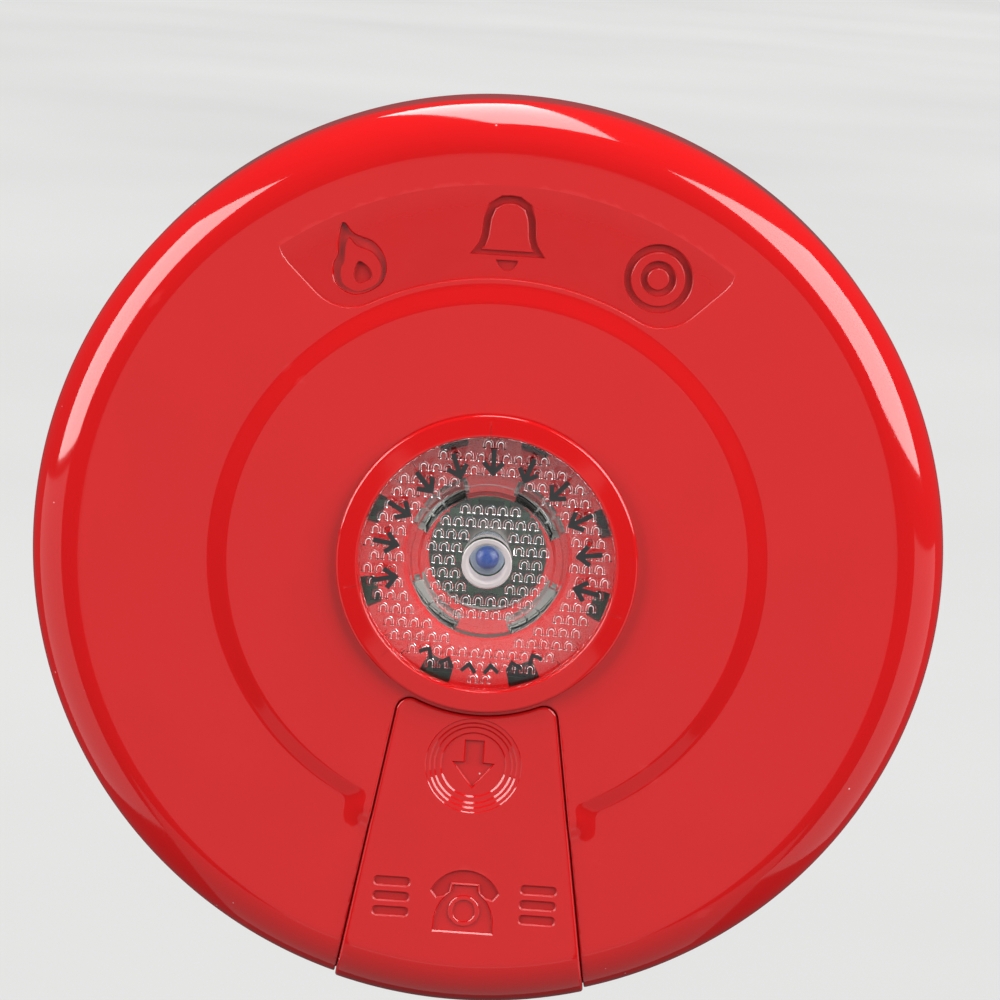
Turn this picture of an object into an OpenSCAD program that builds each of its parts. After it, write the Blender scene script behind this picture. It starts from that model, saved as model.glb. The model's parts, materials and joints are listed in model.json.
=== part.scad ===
// Round fire alarm call point with a telephone jack under a sliding cover.
// Sizes are in millimetres. Each piece is drawn facing up (+Z) on the panel plane z = 0,
// and facing() turns it so that the face looks along -Y and +Z is up.

/* [Front cover] */
// Outside diameter of the front cover
cover_d = 130; // [126:1:140]
// Distance from the panel to the flat face
cover_depth = 18; // [17.5:0.5:20]
// Radius of the rounded rim
rim_round = 7.1; // [6:0.1:8]
// Thickness of the moulded shell
wall = 2.6; // [2.2:0.1:3]
// Diameter of the raised field round the button
plateau_d = 79.4; // [78:0.2:79.8]
// Height of the raised field
plateau_h = 0.6; // [0.5:0.1:1]

/* [Name panel] */
// Inner radius of the recessed panel
panel_in_r = 40.2; // [40:0.1:42]
// Outer radius of the recessed panel
panel_out_r = 54; // [50:0.5:55]
// Half of the angle that the panel covers
panel_half_angle = 37.3; // [30:0.1:42]
// Depth of the panel
panel_depth = 0.5; // [0.3:0.1:0.8]

/* [Button] */
// Diameter of the clear plate inside the raised ring
plate_d = 36.4; // [36:0.1:36.6]
// Outside diameter of the raised ring
bezel_d = 42.6; // [42.2:0.1:43]
// How far the plate travels when it is pressed
press_travel = 3; // [1.5:0.1:3]
// Diameter of the response lamp
lamp_d = 5; // [4.8:0.1:5.2]

/* [Telephone cover] */
// Half width of the cover at its upper corners
hatch_top_half_w = 11.1; // [10.8:0.1:11.4]
// Angle between each side and the centre line
hatch_slope = 9.1; // [8:0.1:10]
// Thickness of the cover
hatch_t = 2; // [1.8:0.1:2.2]
// How far the cover slides down
hatch_travel = 26; // [24:0.5:26]

/* [Telephone jack] */
// Distance of the jack below the centre
jack_drop = 34; // [33.5:0.1:34.5]
// Radius of the bushing's bore, for a 6.35 mm plug
jack_bore_r = 3.2; // [3.19:0.01:3.25]

/* [Rear] */
// Diameter of the rear housing, which passes through the panel
housing_d = 96; // [94:0.5:97]
// Depth of the rear housing behind the panel
housing_depth = 26; // [26:0.5:30]
// Diameter of the circle of the four fixing inserts
fixing_pcd = 107; // [106.5:0.5:108]
// Number of ways on the terminal block
ways = 6; // [4:1:6]

/* [Hidden] */
$fn = 96;

cut = 1;            // how far a cutting solid runs past the surface that it cuts
slide_gap = 0.3;    // free space between pieces that slide on each other
snug = 0.05;        // free space between pieces that are fastened together

// Front cover
cover_r = cover_d / 2;
face_r = cover_r - rim_round;
face_z = cover_depth;
plateau_z = face_z + plateau_h;
shell_z = face_z - wall;
strip_out = 53;
strip_half_w = 17.8;
strip_from = 34.8;
strip_slope = 11;
ledge_in_r = 59.8;
ledge_h = 4;
gasket_in_r = 60.6;
gasket_out_r = 63.2;
gasket_h = 1.6;

// Button well
well_r = 20.4;
well_wall = 2.2;
well_floor_z = 12.4;
sunk_floor_z = 10.4;
well_floor_t = 2;
sunk_floor_r = 11.4;
collar_in_r = 8.1;
skirt_in_r = 9.3;
skirt_out_r = 10.8;
leg_half_angle = 24;
leg_angles = [45, 135, 225, 315];
window_in_r = 15.6;
window_out_r = 18.4;
window_turn = 25;
window_half_angle = 7;

// Raised ring
bezel_r = bezel_d / 2;
bezel_h = 1.6;
bezel_z = plateau_z + bezel_h;
bezel_round = bezel_h / 2;
lip_r = plate_d / 2;
lip_z = plateau_z - 0.3;
neck_in_r = 19.5;
neck_out_r = well_r - snug;
key_w = 2.4;
key_in_r = 18.75;

// Clear plate
plate_r = lip_r - 0.15;
plate_z = lip_z + 0.7;
flange_r = neck_in_r - slide_gap;
flange_z = lip_z - 0.1;
plate_under_z = flange_z - 1.8;
band_z = plate_under_z - 2.6;
leg_end_z = 4;
lamp_tube_in_r = lamp_d / 2 + 0.45;
lamp_tube_out_r = lamp_d / 2 + 1.05;
lamp_tube_z = 14;

// Actuator ring and switch
ring_in_r = 8.6;
ring_out_r = 12.6;
ring_z = 3.4;
ring_h = 3;
tab_reach = 19.5;
tab_w = 6;
tab_h = 2;
switch_x = 17;
switch_w = 8;
plunger_w = 3.6;
plunger_hole_w = plunger_w + 0.3;
plunger_depth = 1.5;
plunger_room = plunger_depth + press_travel + 0.5;
pin_w = 0.5;
pin_pitch = 2.5;

// Circuit board
board_z = -8;
board_t = 1.6;
board_r = 43;
board_back_z = board_z - board_t;
lead_r = 0.3;
lead_hole_r = 0.45;
lead_end_z = board_back_z - 1;

// Lamp
lamp_top_z = plate_z - press_travel;
lamp_base_z = lamp_top_z - 8.6;
lamp_flange_r = 2.9;
lamp_flange_h = 1;
lamp_lead_x = 1.27;

// Return spring
spring_r = 11.1;
spring_wire_r = 0.45;
spring_turns = 5;
spring_steps = 20;
spring_sides = 8;

// Telephone cover and its channel
hatch_proud = 0.5;
hatch_top_r = 22.1;
hatch_ref_y = -19.7;
hatch_low_y = -70;
hatch_end_z = 4.9;
channel_inset = hatch_t - hatch_proud + slide_gap;
channel_t = 2.2;
channel_floor_z = face_z - channel_inset;
channel_under_z = channel_floor_z - channel_t;
foot_x = 10;
foot_w = 2.6;
foot_top_y = -24.6;
foot_len = 5;
foot_end_z = channel_under_z - slide_gap;
hatch_under_z = face_z + hatch_proud - hatch_t;
clip_in_x = 8.5;
clip_out_x = 13.4;
clip_t = 2;
clip_z = foot_end_z - clip_t;
clip_margin = 0.6;
clip_screw_r = 0.8;
clip_head_r = 1.7;
clip_head_h = 1.1;
clip_screw_len = 4.4;

// Detent spring
detent_post = [16, -38];
detent_post_r = 1.5;
detent_t = 0.35;
detent_h = 1.5;
detent_x = detent_post[0] - detent_post_r - snug - detent_t;
detent_top_y = -24.4;
detent_bump_y = -27;
detent_bump_r = 0.5;
detent_z = clip_z + 0.2;

// Telephone jack
pocket_r = 7;
pocket_wall = 1.2;
pocket_floor_z = 12.8;
pocket_under_z = 10.6;
bushing_r = 4.5;
bushing_top_z = 15.8;
washer_h = 0.5;
washer_r = 6.4;
nut_r = 6.2;
nut_h = 2;
nut_slot = 1.2;
jack_w = 14;
jack_chamber_r = 3.9;
contact_t = 0.4;
contact_w = 2.4;
contact_x = 4.2;
contact_top_z = 7.5;

// Rear housing
housing_r = housing_d / 2;
housing_wall = 2;
housing_step_r = housing_r - 1;
housing_step_z = 2;
back_z = -housing_depth;
back_inner_z = back_z + housing_wall;
case_ring_r = 39;
case_boss_r = 3.2;
case_pilot_r = 1.25;
case_screw_r = 1.2;
case_hole_r = 1.7;
case_post_r = 3.6;
case_head_r = 2.9;
case_head_h = 2.2;
case_screw_top_z = 2;
case_pilot_top_z = 4;
board_post_x = 30;
board_post_r = 3;
board_pilot_r = 1;
board_screw_r = 0.95;
board_head_r = 2.3;
board_head_h = 1.4;
board_screw_top_z = -1;
cross_w = 0.7;
cross_depth = 0.8;

// Fixing inserts
insert_r = 3;
insert_bore_r = 2.1;
insert_base_z = 0.2;
insert_len = 8;
insert_boss_r = 4;

// Terminal block
way_pitch = 6.35;
barrier_t = 1;
block_w = ways * way_pitch + barrier_t;
block_y = 15;
block_l = 14;
block_z = board_back_z - 10;
barrier_z = back_inner_z + 0.4;
window_gap = 1;
clamp_t = 0.8;
clamp_w = 4.8;
clamp_l = 7;
terminal_r = 1.2;
terminal_head_r = 2.2;
terminal_head_h = 1.8;
terminal_len = 6;

// Small parts on the board, each at [x, y]
resistor_places = [[-9, 26], [-9, 31], [-24, -20]];
resistor_r = 1.2;
resistor_len = 6.4;
diode_place = [9, 28];
diode_r = 1.3;
diode_len = 4.6;
part_pitch = 10;
part_lift = 1.5;
capacitor_place = [24, -15];
capacitor_r = 3.1;
capacitor_h = 7;
capacitor_pitch = 2.5;

function hatch_half_w(y) = hatch_top_half_w + (hatch_ref_y - y) * tan(hatch_slope);
function polar(r, a) = [r * cos(a), r * sin(a)];

// Turns a piece from its drawing plane to its place on the panel
module facing() rotate([90, 0, 0]) children();

// Puts a copy of the children at each angle of a circle of radius r
module on_circle(r, angles) for (a = angles) translate(polar(r, a)) children();

// A tube or a disc between two heights
module ring(in_r, out_r, low, high) translate([0, 0, low]) difference() {
    cylinder(r = out_r, h = high - low);
    if (in_r > 0) translate([0, 0, -cut]) cylinder(r = in_r, h = high - low + 2 * cut);
}

// A part of a ring, half_angle to each side of the angle a
module arc_ring(in_r, out_r, low, high, a, half_angle)
    rotate([0, 0, a - half_angle]) rotate_extrude(angle = 2 * half_angle)
        translate([in_r, low]) square([out_r - in_r, high - low]);

// The outside form of the front cover, moved inwards by inset, from the height low up
module dome(inset, low = 0) rotate_extrude() {
    translate([0, low]) square([face_r, face_z - inset - low]);
    translate([0, low]) square([cover_r - inset, face_z - rim_round - low]);
    translate([face_r, face_z - rim_round]) circle(r = rim_round - inset);
}

// The tapered outline of the telephone cover, grown by gap
module hatch_outline(gap) difference() {
    polygon([
        [-hatch_half_w(0) - gap, 0],
        [hatch_half_w(0) + gap, 0],
        [hatch_half_w(hatch_low_y) + gap, hatch_low_y],
        [-hatch_half_w(hatch_low_y) - gap, hatch_low_y]
    ]);
    circle(r = hatch_top_r - gap);
}

// A slice of the cover's form between two insets, under the tapered outline
module hatch_layer(gap, outer_inset, inner_inset, low) difference() {
    intersection() {
        dome(outer_inset);
        translate([0, 0, low]) linear_extrude(face_z + cut) hatch_outline(gap);
    }
    dome(inner_inset, -cut);
}

// The strips of the raised field on both sides of the telephone cover
module side_strips() {
    strip_low_half_w = strip_half_w + (strip_out - strip_from) * tan(strip_slope);
    intersection() {
        translate([0, 0, shell_z]) cylinder(r = strip_out, h = plateau_z - shell_z);
        linear_extrude(plateau_z) polygon([
            [-strip_half_w, -strip_from],
            [strip_half_w, -strip_from],
            [strip_low_half_w, -strip_out],
            [-strip_low_half_w, -strip_out]
        ]);
    }
}

module cover_shell() difference() {
    union() {
        dome(0);
        ring(0, plateau_d / 2, shell_z, plateau_z);
        side_strips();
    }
    dome(wall, -cut);
}

module button_well() {
    ring(well_r, well_r + well_wall, well_floor_z - well_floor_t, shell_z);
    difference() {
        union() {
            ring(sunk_floor_r, well_r + well_wall, well_floor_z - well_floor_t, well_floor_z);
            ring(collar_in_r, sunk_floor_r + well_floor_t, sunk_floor_z - well_floor_t, sunk_floor_z + snug);
        }
        ring(0, sunk_floor_r, sunk_floor_z, plateau_z);
        for (a = leg_angles)
            arc_ring(skirt_in_r - slide_gap, skirt_out_r + slide_gap, 0, face_z, a, leg_half_angle + 2);
        for (a = leg_angles, side = [-1, 1])
            arc_ring(window_in_r, window_out_r, 0, face_z, a + side * window_turn, window_half_angle);
    }
}

module jack_pocket() translate([0, -jack_drop, 0])
    ring(bushing_r + 2 * snug, pocket_r + pocket_wall, pocket_under_z, channel_under_z + snug);

module foot_slots() {
    slot_w = foot_w + 2 * snug;
    slot_l = foot_len + hatch_travel + 2 * slide_gap;
    for (side = [-1, 1])
        translate([side * foot_x - slot_w / 2, foot_top_y + slide_gap - slot_l, channel_under_z - cut])
            cube([slot_w, slot_l, channel_t + 2 * cut]);
}

module rear_bosses() {
    on_circle(case_ring_r, leg_angles) ring(0, case_boss_r, board_z, shell_z + snug);
    on_circle(fixing_pcd / 2, leg_angles) ring(0, insert_boss_r, 0, shell_z + snug);
    for (side = [-1, 1])
        translate([side * board_post_x, 0, 0]) ring(0, board_post_r, board_z, shell_z + snug);
    translate(detent_post) ring(0, detent_post_r, detent_z, shell_z + snug);
}

module rear_pilots() {
    on_circle(case_ring_r, leg_angles) ring(0, case_pilot_r, board_z - cut, case_pilot_top_z);
    on_circle(fixing_pcd / 2, leg_angles)
        ring(0, insert_r + snug / 2, -cut, insert_base_z + insert_len);
    for (side = [-1, 1])
        translate([side * board_post_x, 0, 0]) ring(0, board_pilot_r, board_z - cut, board_screw_top_z + 1);
}

module front_cover() color("crimson") facing() {
    difference() {
        union() {
            difference() {
                cover_shell();
                ring(0, well_r, 0, plateau_z + cut);
                // channel for the telephone cover, open to the front and over the rim
                difference() {
                    translate([0, 0, hatch_end_z - slide_gap])
                        linear_extrude(cover_depth) hatch_outline(slide_gap);
                    dome(channel_inset, -cut);
                }
                arc_ring(panel_in_r, panel_out_r, face_z - panel_depth, plateau_z, 90, panel_half_angle);
            }
            difference() {
                hatch_layer(slide_gap + wall, channel_inset, channel_inset + channel_t, hatch_end_z - 3);
                ring(0, well_r + snug, 0, plateau_z);
            }
            button_well();
            jack_pocket();
            rear_bosses();
            ring(ledge_in_r, cover_r - wall + snug, 0, ledge_h);
        }
        foot_slots();
        translate([0, -jack_drop, 0]) ring(0, pocket_r, pocket_floor_z, face_z);
        translate([0, -jack_drop, 0]) ring(0, bushing_r + 2 * snug, 0, face_z);
        rear_pilots();
        ring(gasket_in_r, gasket_out_r, -cut, gasket_h);
    }
}

module threaded_inserts() color("gold") facing() on_circle(fixing_pcd / 2, leg_angles)
    ring(insert_bore_r, insert_r, insert_base_z, insert_base_z + insert_len - snug);

module rim_gasket() color("dimgray") facing()
    ring(gasket_in_r + snug, gasket_out_r - snug, 0, gasket_h - snug);

module button_bezel() color("red") facing() {
    ring(neck_in_r, neck_out_r, well_floor_z + snug, plateau_z);
    rotate_extrude() difference() {
        union() {
            translate([lip_r, lip_z]) square([neck_out_r - lip_r, plateau_z - lip_z]);
            translate([lip_r, plateau_z]) square([bezel_r - bezel_round - lip_r, bezel_z - plateau_z]);
            translate([lip_r, plateau_z]) square([bezel_r - lip_r, bezel_z - bezel_round - plateau_z]);
            translate([bezel_r - bezel_round, bezel_z - bezel_round]) circle(r = bezel_round);
        }
        translate([lip_r, bezel_z]) rotate(45) square(0.5, center = true);
    }
    for (a = leg_angles) rotate([0, 0, a])
        translate([key_in_r, -key_w / 2, well_floor_z + snug])
            cube([neck_in_r - key_in_r + snug, key_w, lip_z - well_floor_z]);
}

// A wedge from the axis outwards, half_angle to each side of the angle a
module wedge(r, low, high, a, half_angle) translate([0, 0, low]) linear_extrude(high - low)
    polygon([[0, 0], polar(r, a - half_angle), polar(r, a), polar(r, a + half_angle)]);

// The skirt under the plate: a band with four legs, and a window between each two legs
module plate_skirt() difference() {
    ring(skirt_in_r, skirt_out_r, leg_end_z, plate_under_z + snug);
    for (a = leg_angles) wedge(2 * skirt_out_r, leg_end_z - cut, band_z, a - 45, 45 - leg_half_angle);
}

module press_plate() color("lightgray", 0.5) facing() {
    difference() {
        rotate_extrude() polygon([
            [lamp_tube_in_r, lamp_tube_z],
            [lamp_tube_out_r, lamp_tube_z],
            [lamp_tube_out_r, plate_under_z],
            [flange_r, plate_under_z],
            [flange_r, flange_z],
            [plate_r, flange_z],
            [plate_r, plate_z],
            [lamp_tube_in_r, plate_z]
        ]);
        for (a = leg_angles) rotate([0, 0, a])
            translate([key_in_r - slide_gap, -key_w / 2 - slide_gap, plate_under_z - cut])
                cube([neck_in_r, key_w + 2 * slide_gap, plate_z - plate_under_z + 2 * cut]);
    }
    plate_skirt();
}

module actuator_ring() color("ivory") facing() difference() {
    union() {
        ring(ring_in_r, ring_out_r, ring_z, ring_z + ring_h);
        translate([ring_out_r - 1, -tab_w / 2, ring_z]) cube([tab_reach - ring_out_r + 1, tab_w, tab_h]);
    }
    for (a = leg_angles)
        arc_ring(skirt_in_r - snug, skirt_out_r + snug, leg_end_z - snug, face_z, a, leg_half_angle + 0.3);
}

// Points of the spring's wire: a helix whose end turns lie flat
function spring_pitch(t) = min(max(t - 0.75, 0) / (spring_turns - 1.5), 1);
function spring_ring(t, low, high) = [
    for (k = [0 : spring_sides - 1])
        let (b = 360 * k / spring_sides)
        let (r = spring_r + spring_wire_r * cos(b))
        [r * cos(360 * t), r * sin(360 * t), low + (high - low) * spring_pitch(t) + spring_wire_r * sin(b)]
];

module return_spring() color("silver") facing() {
    low = board_z + spring_wire_r + snug;
    high = ring_z - spring_wire_r - snug;
    rings = spring_turns * spring_steps;
    points = [for (i = [0 : rings]) each spring_ring(i / spring_steps, low, high)];
    sides = [
        for (i = [0 : rings - 1], k = [0 : spring_sides - 1])
            let (n = (k + 1) % spring_sides)
            [
                i * spring_sides + k,
                i * spring_sides + n,
                (i + 1) * spring_sides + n,
                (i + 1) * spring_sides + k
            ]
    ];
    first_cap = [for (k = [0 : spring_sides - 1]) spring_sides - 1 - k];
    last_cap = [for (k = [0 : spring_sides - 1]) rings * spring_sides + k];
    polyhedron(points, concat(sides, [first_cap, last_cap]), convexity = 10);
}

module phone_cover() color("firebrick") facing() difference() {
    union() {
        hatch_layer(0, -hatch_proud, hatch_t - hatch_proud, hatch_end_z);
        for (side = [-1, 1])
            translate([side * foot_x - foot_w / 2, foot_top_y - foot_len, foot_end_z])
                cube([foot_w, foot_len, hatch_under_z + snug - foot_end_z]);
    }
    for (side = [-1, 1]) translate([side * foot_x, foot_top_y - foot_len / 2, 0])
        ring(0, clip_screw_r + snug, 0, foot_end_z + clip_screw_len - clip_t + snug);
}

module slide_clips() color("whitesmoke") facing() for (side = [-1, 1]) difference() {
    translate([side > 0 ? clip_in_x : -clip_out_x, foot_top_y - foot_len - clip_margin, clip_z])
        cube([clip_out_x - clip_in_x, foot_len + 2 * clip_margin, clip_t]);
    translate([side * foot_x, foot_top_y - foot_len / 2, 0])
        ring(0, clip_screw_r + 2 * snug, 0, face_z);
}

// A screw with a crossed slot, its head's underside at z = 0 and its shank upwards
module screw(shank_r, shank_len, head_r, head_h) {
    cylinder(r = shank_r, h = shank_len);
    difference() {
        translate([0, 0, -head_h]) cylinder(r = head_r, h = head_h);
        for (a = [0, 90]) rotate([0, 0, a])
            translate([-head_r * 0.6, -cross_w / 2, -head_h - cut])
                cube([head_r * 1.2, cross_w, cut + min(cross_depth, head_h / 2)]);
    }
}

module clip_screws() color("silver") facing() for (side = [-1, 1])
    translate([side * foot_x, foot_top_y - foot_len / 2, clip_z])
        screw(clip_screw_r, clip_screw_len, clip_head_r, clip_head_h);

module detent_spring() color("lightsteelblue") facing() translate([0, 0, detent_z])
    linear_extrude(detent_h) {
        difference() {
            translate(detent_post) circle(r = detent_post_r + snug + detent_t);
            translate(detent_post) circle(r = detent_post_r + snug);
        }
        translate([detent_x, detent_post[1]]) square([detent_t, detent_top_y - detent_post[1]]);
        translate([detent_x, detent_bump_y]) circle(r = detent_bump_r);
    }

module led() color("royalblue") facing() {
    ring(0, lamp_flange_r, lamp_base_z, lamp_base_z + lamp_flange_h);
    translate([0, 0, lamp_base_z]) cylinder(d = lamp_d, h = lamp_top_z - lamp_base_z - lamp_d / 2);
    translate([0, 0, lamp_top_z - lamp_d / 2]) sphere(d = lamp_d);
    for (side = [-1, 1]) translate([side * lamp_lead_x - pin_w / 2, -pin_w / 2, lead_end_z])
        cube([pin_w, pin_w, lamp_base_z + snug - lead_end_z]);
}

module led_spacer() color("white") facing() difference() {
    ring(0, lamp_flange_r, board_z, lamp_base_z);
    for (side = [-1, 1]) translate([side * lamp_lead_x, 0, 0])
        ring(0, lead_hole_r, board_z - cut, lamp_base_z + cut);
}

module circuit_board() color("darkgreen") facing() difference() {
    ring(0, board_r, board_back_z, board_z);
    on_circle(case_ring_r, leg_angles) board_hole(case_hole_r);
    for (side = [-1, 1]) {
        translate([side * board_post_x, 0, 0]) board_hole(board_pilot_r + 0.3);
        translate([side * lamp_lead_x, 0, 0]) board_hole(lead_hole_r);
        for (row = [-1, 0, 1]) translate([switch_x + side * pin_pitch, row * pin_pitch, 0])
            board_hole(lead_hole_r);
    }
    translate([0, -jack_drop, 0]) board_hole(jack_chamber_r + snug);
    for (a = [0, 90, 180]) translate([0, -jack_drop, 0]) rotate([0, 0, a])
        translate([contact_x + jack_w / 8, 0, 0]) board_hole(0.7);
    for (place = resistor_places) translate(place) lead_holes(part_pitch);
    translate(diode_place) lead_holes(part_pitch);
    translate(capacitor_place) lead_holes(capacitor_pitch);
}

module board_hole(r) ring(0, r, board_back_z - cut, board_z + cut);

module lead_holes(pitch) for (side = [-1, 1]) translate([side * pitch / 2, 0, 0])
    board_hole(lead_hole_r);

module board_screws() color("silver") facing() for (side = [-1, 1])
    translate([side * board_post_x, 0, board_back_z])
        screw(board_screw_r, board_screw_top_z - board_back_z, board_head_r, board_head_h);

// A part with a lead at each end that turns down into the board
module axial_part(body_r, body_len) {
    height = board_z + part_lift;
    translate([-body_len / 2, 0, height]) rotate([0, 90, 0]) cylinder(r = body_r, h = body_len);
    for (side = [-1, 1]) {
        translate([side * part_pitch / 2, 0, lead_end_z]) cylinder(r = lead_r, h = height - lead_end_z);
        translate([side * part_pitch / 2, 0, height]) sphere(r = lead_r);
        translate([side > 0 ? body_len / 2 - snug : -part_pitch / 2, 0, height]) rotate([0, 90, 0])
            cylinder(r = lead_r, h = (part_pitch - body_len) / 2 + snug);
    }
}

module resistors() color("tan") facing() for (place = resistor_places)
    translate(place) axial_part(resistor_r, resistor_len);

module diode() color("black") facing() translate(diode_place) axial_part(diode_r, diode_len);

module capacitor() color("navy") facing() translate(capacitor_place) {
    ring(0, capacitor_r, board_z, board_z + capacitor_h);
    for (side = [-1, 1]) translate([side * capacitor_pitch / 2, 0, 0])
        ring(0, lead_r, lead_end_z, board_z + snug);
}

module switch_body() color("dimgray") facing() difference() {
    translate([switch_x - switch_w / 2, -switch_w / 2, board_z]) cube([switch_w, switch_w, -board_z]);
    translate([switch_x - plunger_hole_w / 2, -plunger_hole_w / 2, -plunger_room])
        cube([plunger_hole_w, plunger_hole_w, plunger_room + cut]);
}

module switch_plunger() color("white") facing()
    translate([switch_x - plunger_w / 2, -plunger_w / 2, -plunger_depth])
        cube([plunger_w, plunger_w, plunger_depth + ring_z - snug]);

module switch_pins() color("silver") facing() for (side = [-1, 1], row = [-1, 0, 1])
    translate([switch_x + side * pin_pitch - pin_w / 2, row * pin_pitch - pin_w / 2, lead_end_z])
        cube([pin_w, pin_w, board_z - lead_end_z]);

module jack_body() color("black") facing() translate([0, -jack_drop, 0]) difference() {
    translate([-jack_w / 2, -jack_w / 2, board_z]) cube([jack_w, jack_w, pocket_under_z - board_z]);
    ring(0, jack_chamber_r, board_z - cut, pocket_under_z + cut);
    for (a = [0, 90, 180]) rotate([0, 0, a])
        translate([jack_chamber_r - snug, -contact_w / 2 - snug, board_z - cut])
            cube([jack_w, contact_w + 2 * snug, contact_top_z + snug + cut - board_z]);
}

module jack_bushing() color("silver") facing() translate([0, -jack_drop, 0])
    ring(jack_bore_r, bushing_r, pocket_under_z, bushing_top_z);

module jack_washer() color("silver") facing() translate([0, -jack_drop, 0])
    ring(bushing_r + snug, washer_r, pocket_floor_z, pocket_floor_z + washer_h);

module jack_nut() color("silver") facing() translate([0, -jack_drop, 0]) difference() {
    ring(bushing_r + snug, nut_r, pocket_floor_z + washer_h, pocket_floor_z + washer_h + nut_h);
    for (side = [-1, 1]) translate([side * nut_r - nut_slot / 2, -nut_slot / 2, pocket_floor_z + washer_h])
        cube([nut_slot, nut_slot, nut_h + cut]);
}

module jack_contacts() color("gold") facing() translate([0, -jack_drop, 0])
    for (a = [0, 90, 180]) rotate([0, 0, a]) {
        translate([contact_x, -contact_w / 2, board_z]) cube([contact_t, contact_w, contact_top_z - board_z]);
        translate([contact_x, -contact_w / 2, board_z]) cube([jack_w / 8 + contact_t, contact_w, contact_t]);
        translate([contact_x + jack_w / 8 - pin_w / 2, -pin_w / 2, lead_end_z])
            cube([pin_w, pin_w, board_z + contact_t - lead_end_z]);
    }

function way_x(i) = (i - (ways - 1) / 2) * way_pitch;

module terminal_block() color("darkslategray") facing() difference() {
    union() {
        translate([-block_w / 2, block_y - block_l / 2, block_z])
            cube([block_w, block_l, board_back_z - block_z]);
        for (i = [0 : ways]) translate([(i - ways / 2) * way_pitch - barrier_t / 2, 0, barrier_z])
            translate([0, block_y - block_l / 2, 0]) cube([barrier_t, block_l, block_z + cut - barrier_z]);
    }
    for (i = [0 : ways - 1]) translate([way_x(i), block_y, 0])
        ring(0, terminal_r + snug, block_z - cut, block_z - clamp_t + terminal_len + snug);
}

module terminal_clamps() color("silver") facing() for (i = [0 : ways - 1])
    translate([way_x(i), block_y, 0]) difference() {
        translate([-clamp_w / 2, -clamp_l / 2, block_z - clamp_t]) cube([clamp_w, clamp_l, clamp_t]);
        ring(0, terminal_r + 2 * snug, block_z - 2, block_z + cut);
    }

module terminal_screws() color("silver") facing() for (i = [0 : ways - 1])
    translate([way_x(i), block_y, block_z - clamp_t])
        screw(terminal_r, terminal_len, terminal_head_r, terminal_head_h);

module back_housing() color("black") facing() difference() {
    union() {
        ring(housing_step_r - housing_wall, housing_step_r, -housing_wall, housing_step_z);
        ring(housing_r - housing_wall - 1, housing_r, back_z, 0);
        ring(0, housing_r - snug, back_z, back_inner_z);
        on_circle(case_ring_r, leg_angles) ring(0, case_post_r, back_z, board_back_z);
    }
    on_circle(case_ring_r, leg_angles) {
        ring(0, case_hole_r, back_z - cut, board_back_z + cut);
        ring(0, case_head_r + 2 * snug, back_z - cut, back_z + case_head_h);
    }
    translate([-block_w / 2 - window_gap, block_y - block_l / 2 - window_gap, back_z - cut])
        cube([block_w + 2 * window_gap, block_l + 2 * window_gap, housing_wall + 2 * cut]);
}

module case_screws() color("silver") facing() on_circle(case_ring_r, leg_angles)
    translate([0, 0, back_z + case_head_h])
        screw(case_screw_r, case_screw_top_z - back_z - case_head_h, case_head_r, case_head_h);

front_cover();
threaded_inserts();
rim_gasket();
button_bezel();
press_plate();
actuator_ring();
return_spring();
phone_cover();
slide_clips();
clip_screws();
detent_spring();
led();
led_spacer();
circuit_board();
board_screws();
resistors();
diode();
capacitor();
switch_body();
switch_plunger();
switch_pins();
jack_body();
jack_bushing();
jack_washer();
jack_nut();
jack_contacts();
terminal_block();
terminal_clamps();
terminal_screws();
back_housing();
case_screws();
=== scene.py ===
"""Looks of a round fire alarm call point: press plate, response lamp and sliding telephone cover.

Pieces are drawn in millimetres with x to the right, y up and z out of the panel, and row() turns
each point into the shared frame, in metres.
"""

import json
import math

import bmesh
import bpy
from mathutils import Matrix, Vector


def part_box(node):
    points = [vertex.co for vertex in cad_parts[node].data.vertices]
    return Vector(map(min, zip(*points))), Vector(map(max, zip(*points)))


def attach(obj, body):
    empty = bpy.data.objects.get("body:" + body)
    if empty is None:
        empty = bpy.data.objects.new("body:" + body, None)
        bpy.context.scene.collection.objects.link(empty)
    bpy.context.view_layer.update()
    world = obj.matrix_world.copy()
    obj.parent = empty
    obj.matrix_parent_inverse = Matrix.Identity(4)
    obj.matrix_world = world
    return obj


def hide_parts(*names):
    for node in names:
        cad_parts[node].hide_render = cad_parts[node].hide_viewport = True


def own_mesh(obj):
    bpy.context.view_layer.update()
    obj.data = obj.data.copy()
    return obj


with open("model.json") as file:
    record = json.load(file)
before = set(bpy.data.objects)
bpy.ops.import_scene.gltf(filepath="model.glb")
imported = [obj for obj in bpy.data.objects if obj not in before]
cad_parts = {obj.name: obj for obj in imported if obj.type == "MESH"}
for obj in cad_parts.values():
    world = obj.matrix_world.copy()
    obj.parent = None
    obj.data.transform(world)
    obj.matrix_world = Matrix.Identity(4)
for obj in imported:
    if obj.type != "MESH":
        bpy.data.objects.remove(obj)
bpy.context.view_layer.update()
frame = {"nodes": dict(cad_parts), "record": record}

bl_info = {
    "name": "Fire Alarm Call Point",
    "version": (1, 0, 0),
    "blender": (4, 5, 0),
    "location": "3D View > Sidebar > Call Point",
    "description": "Builds the visible pieces of a round fire alarm call point on its packed frame",
    "category": "Object",
}

MM = 0.001
DIAGONALS = (45, 135, 225, 315)
SMOOTH_ANGLE = math.radians(32)
SLOTS = {s["node"]: s["material_slot"] for s in frame["record"]["subparts"]}


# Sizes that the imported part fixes, in millimetres

def node_box(node):
    """A node's box as (x, y, z) ranges of the maker's drawing."""
    low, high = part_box(node)
    return (low.x / MM, high.x / MM), (low.z / MM, high.z / MM), (-high.y / MM, -low.y / MM)


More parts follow.
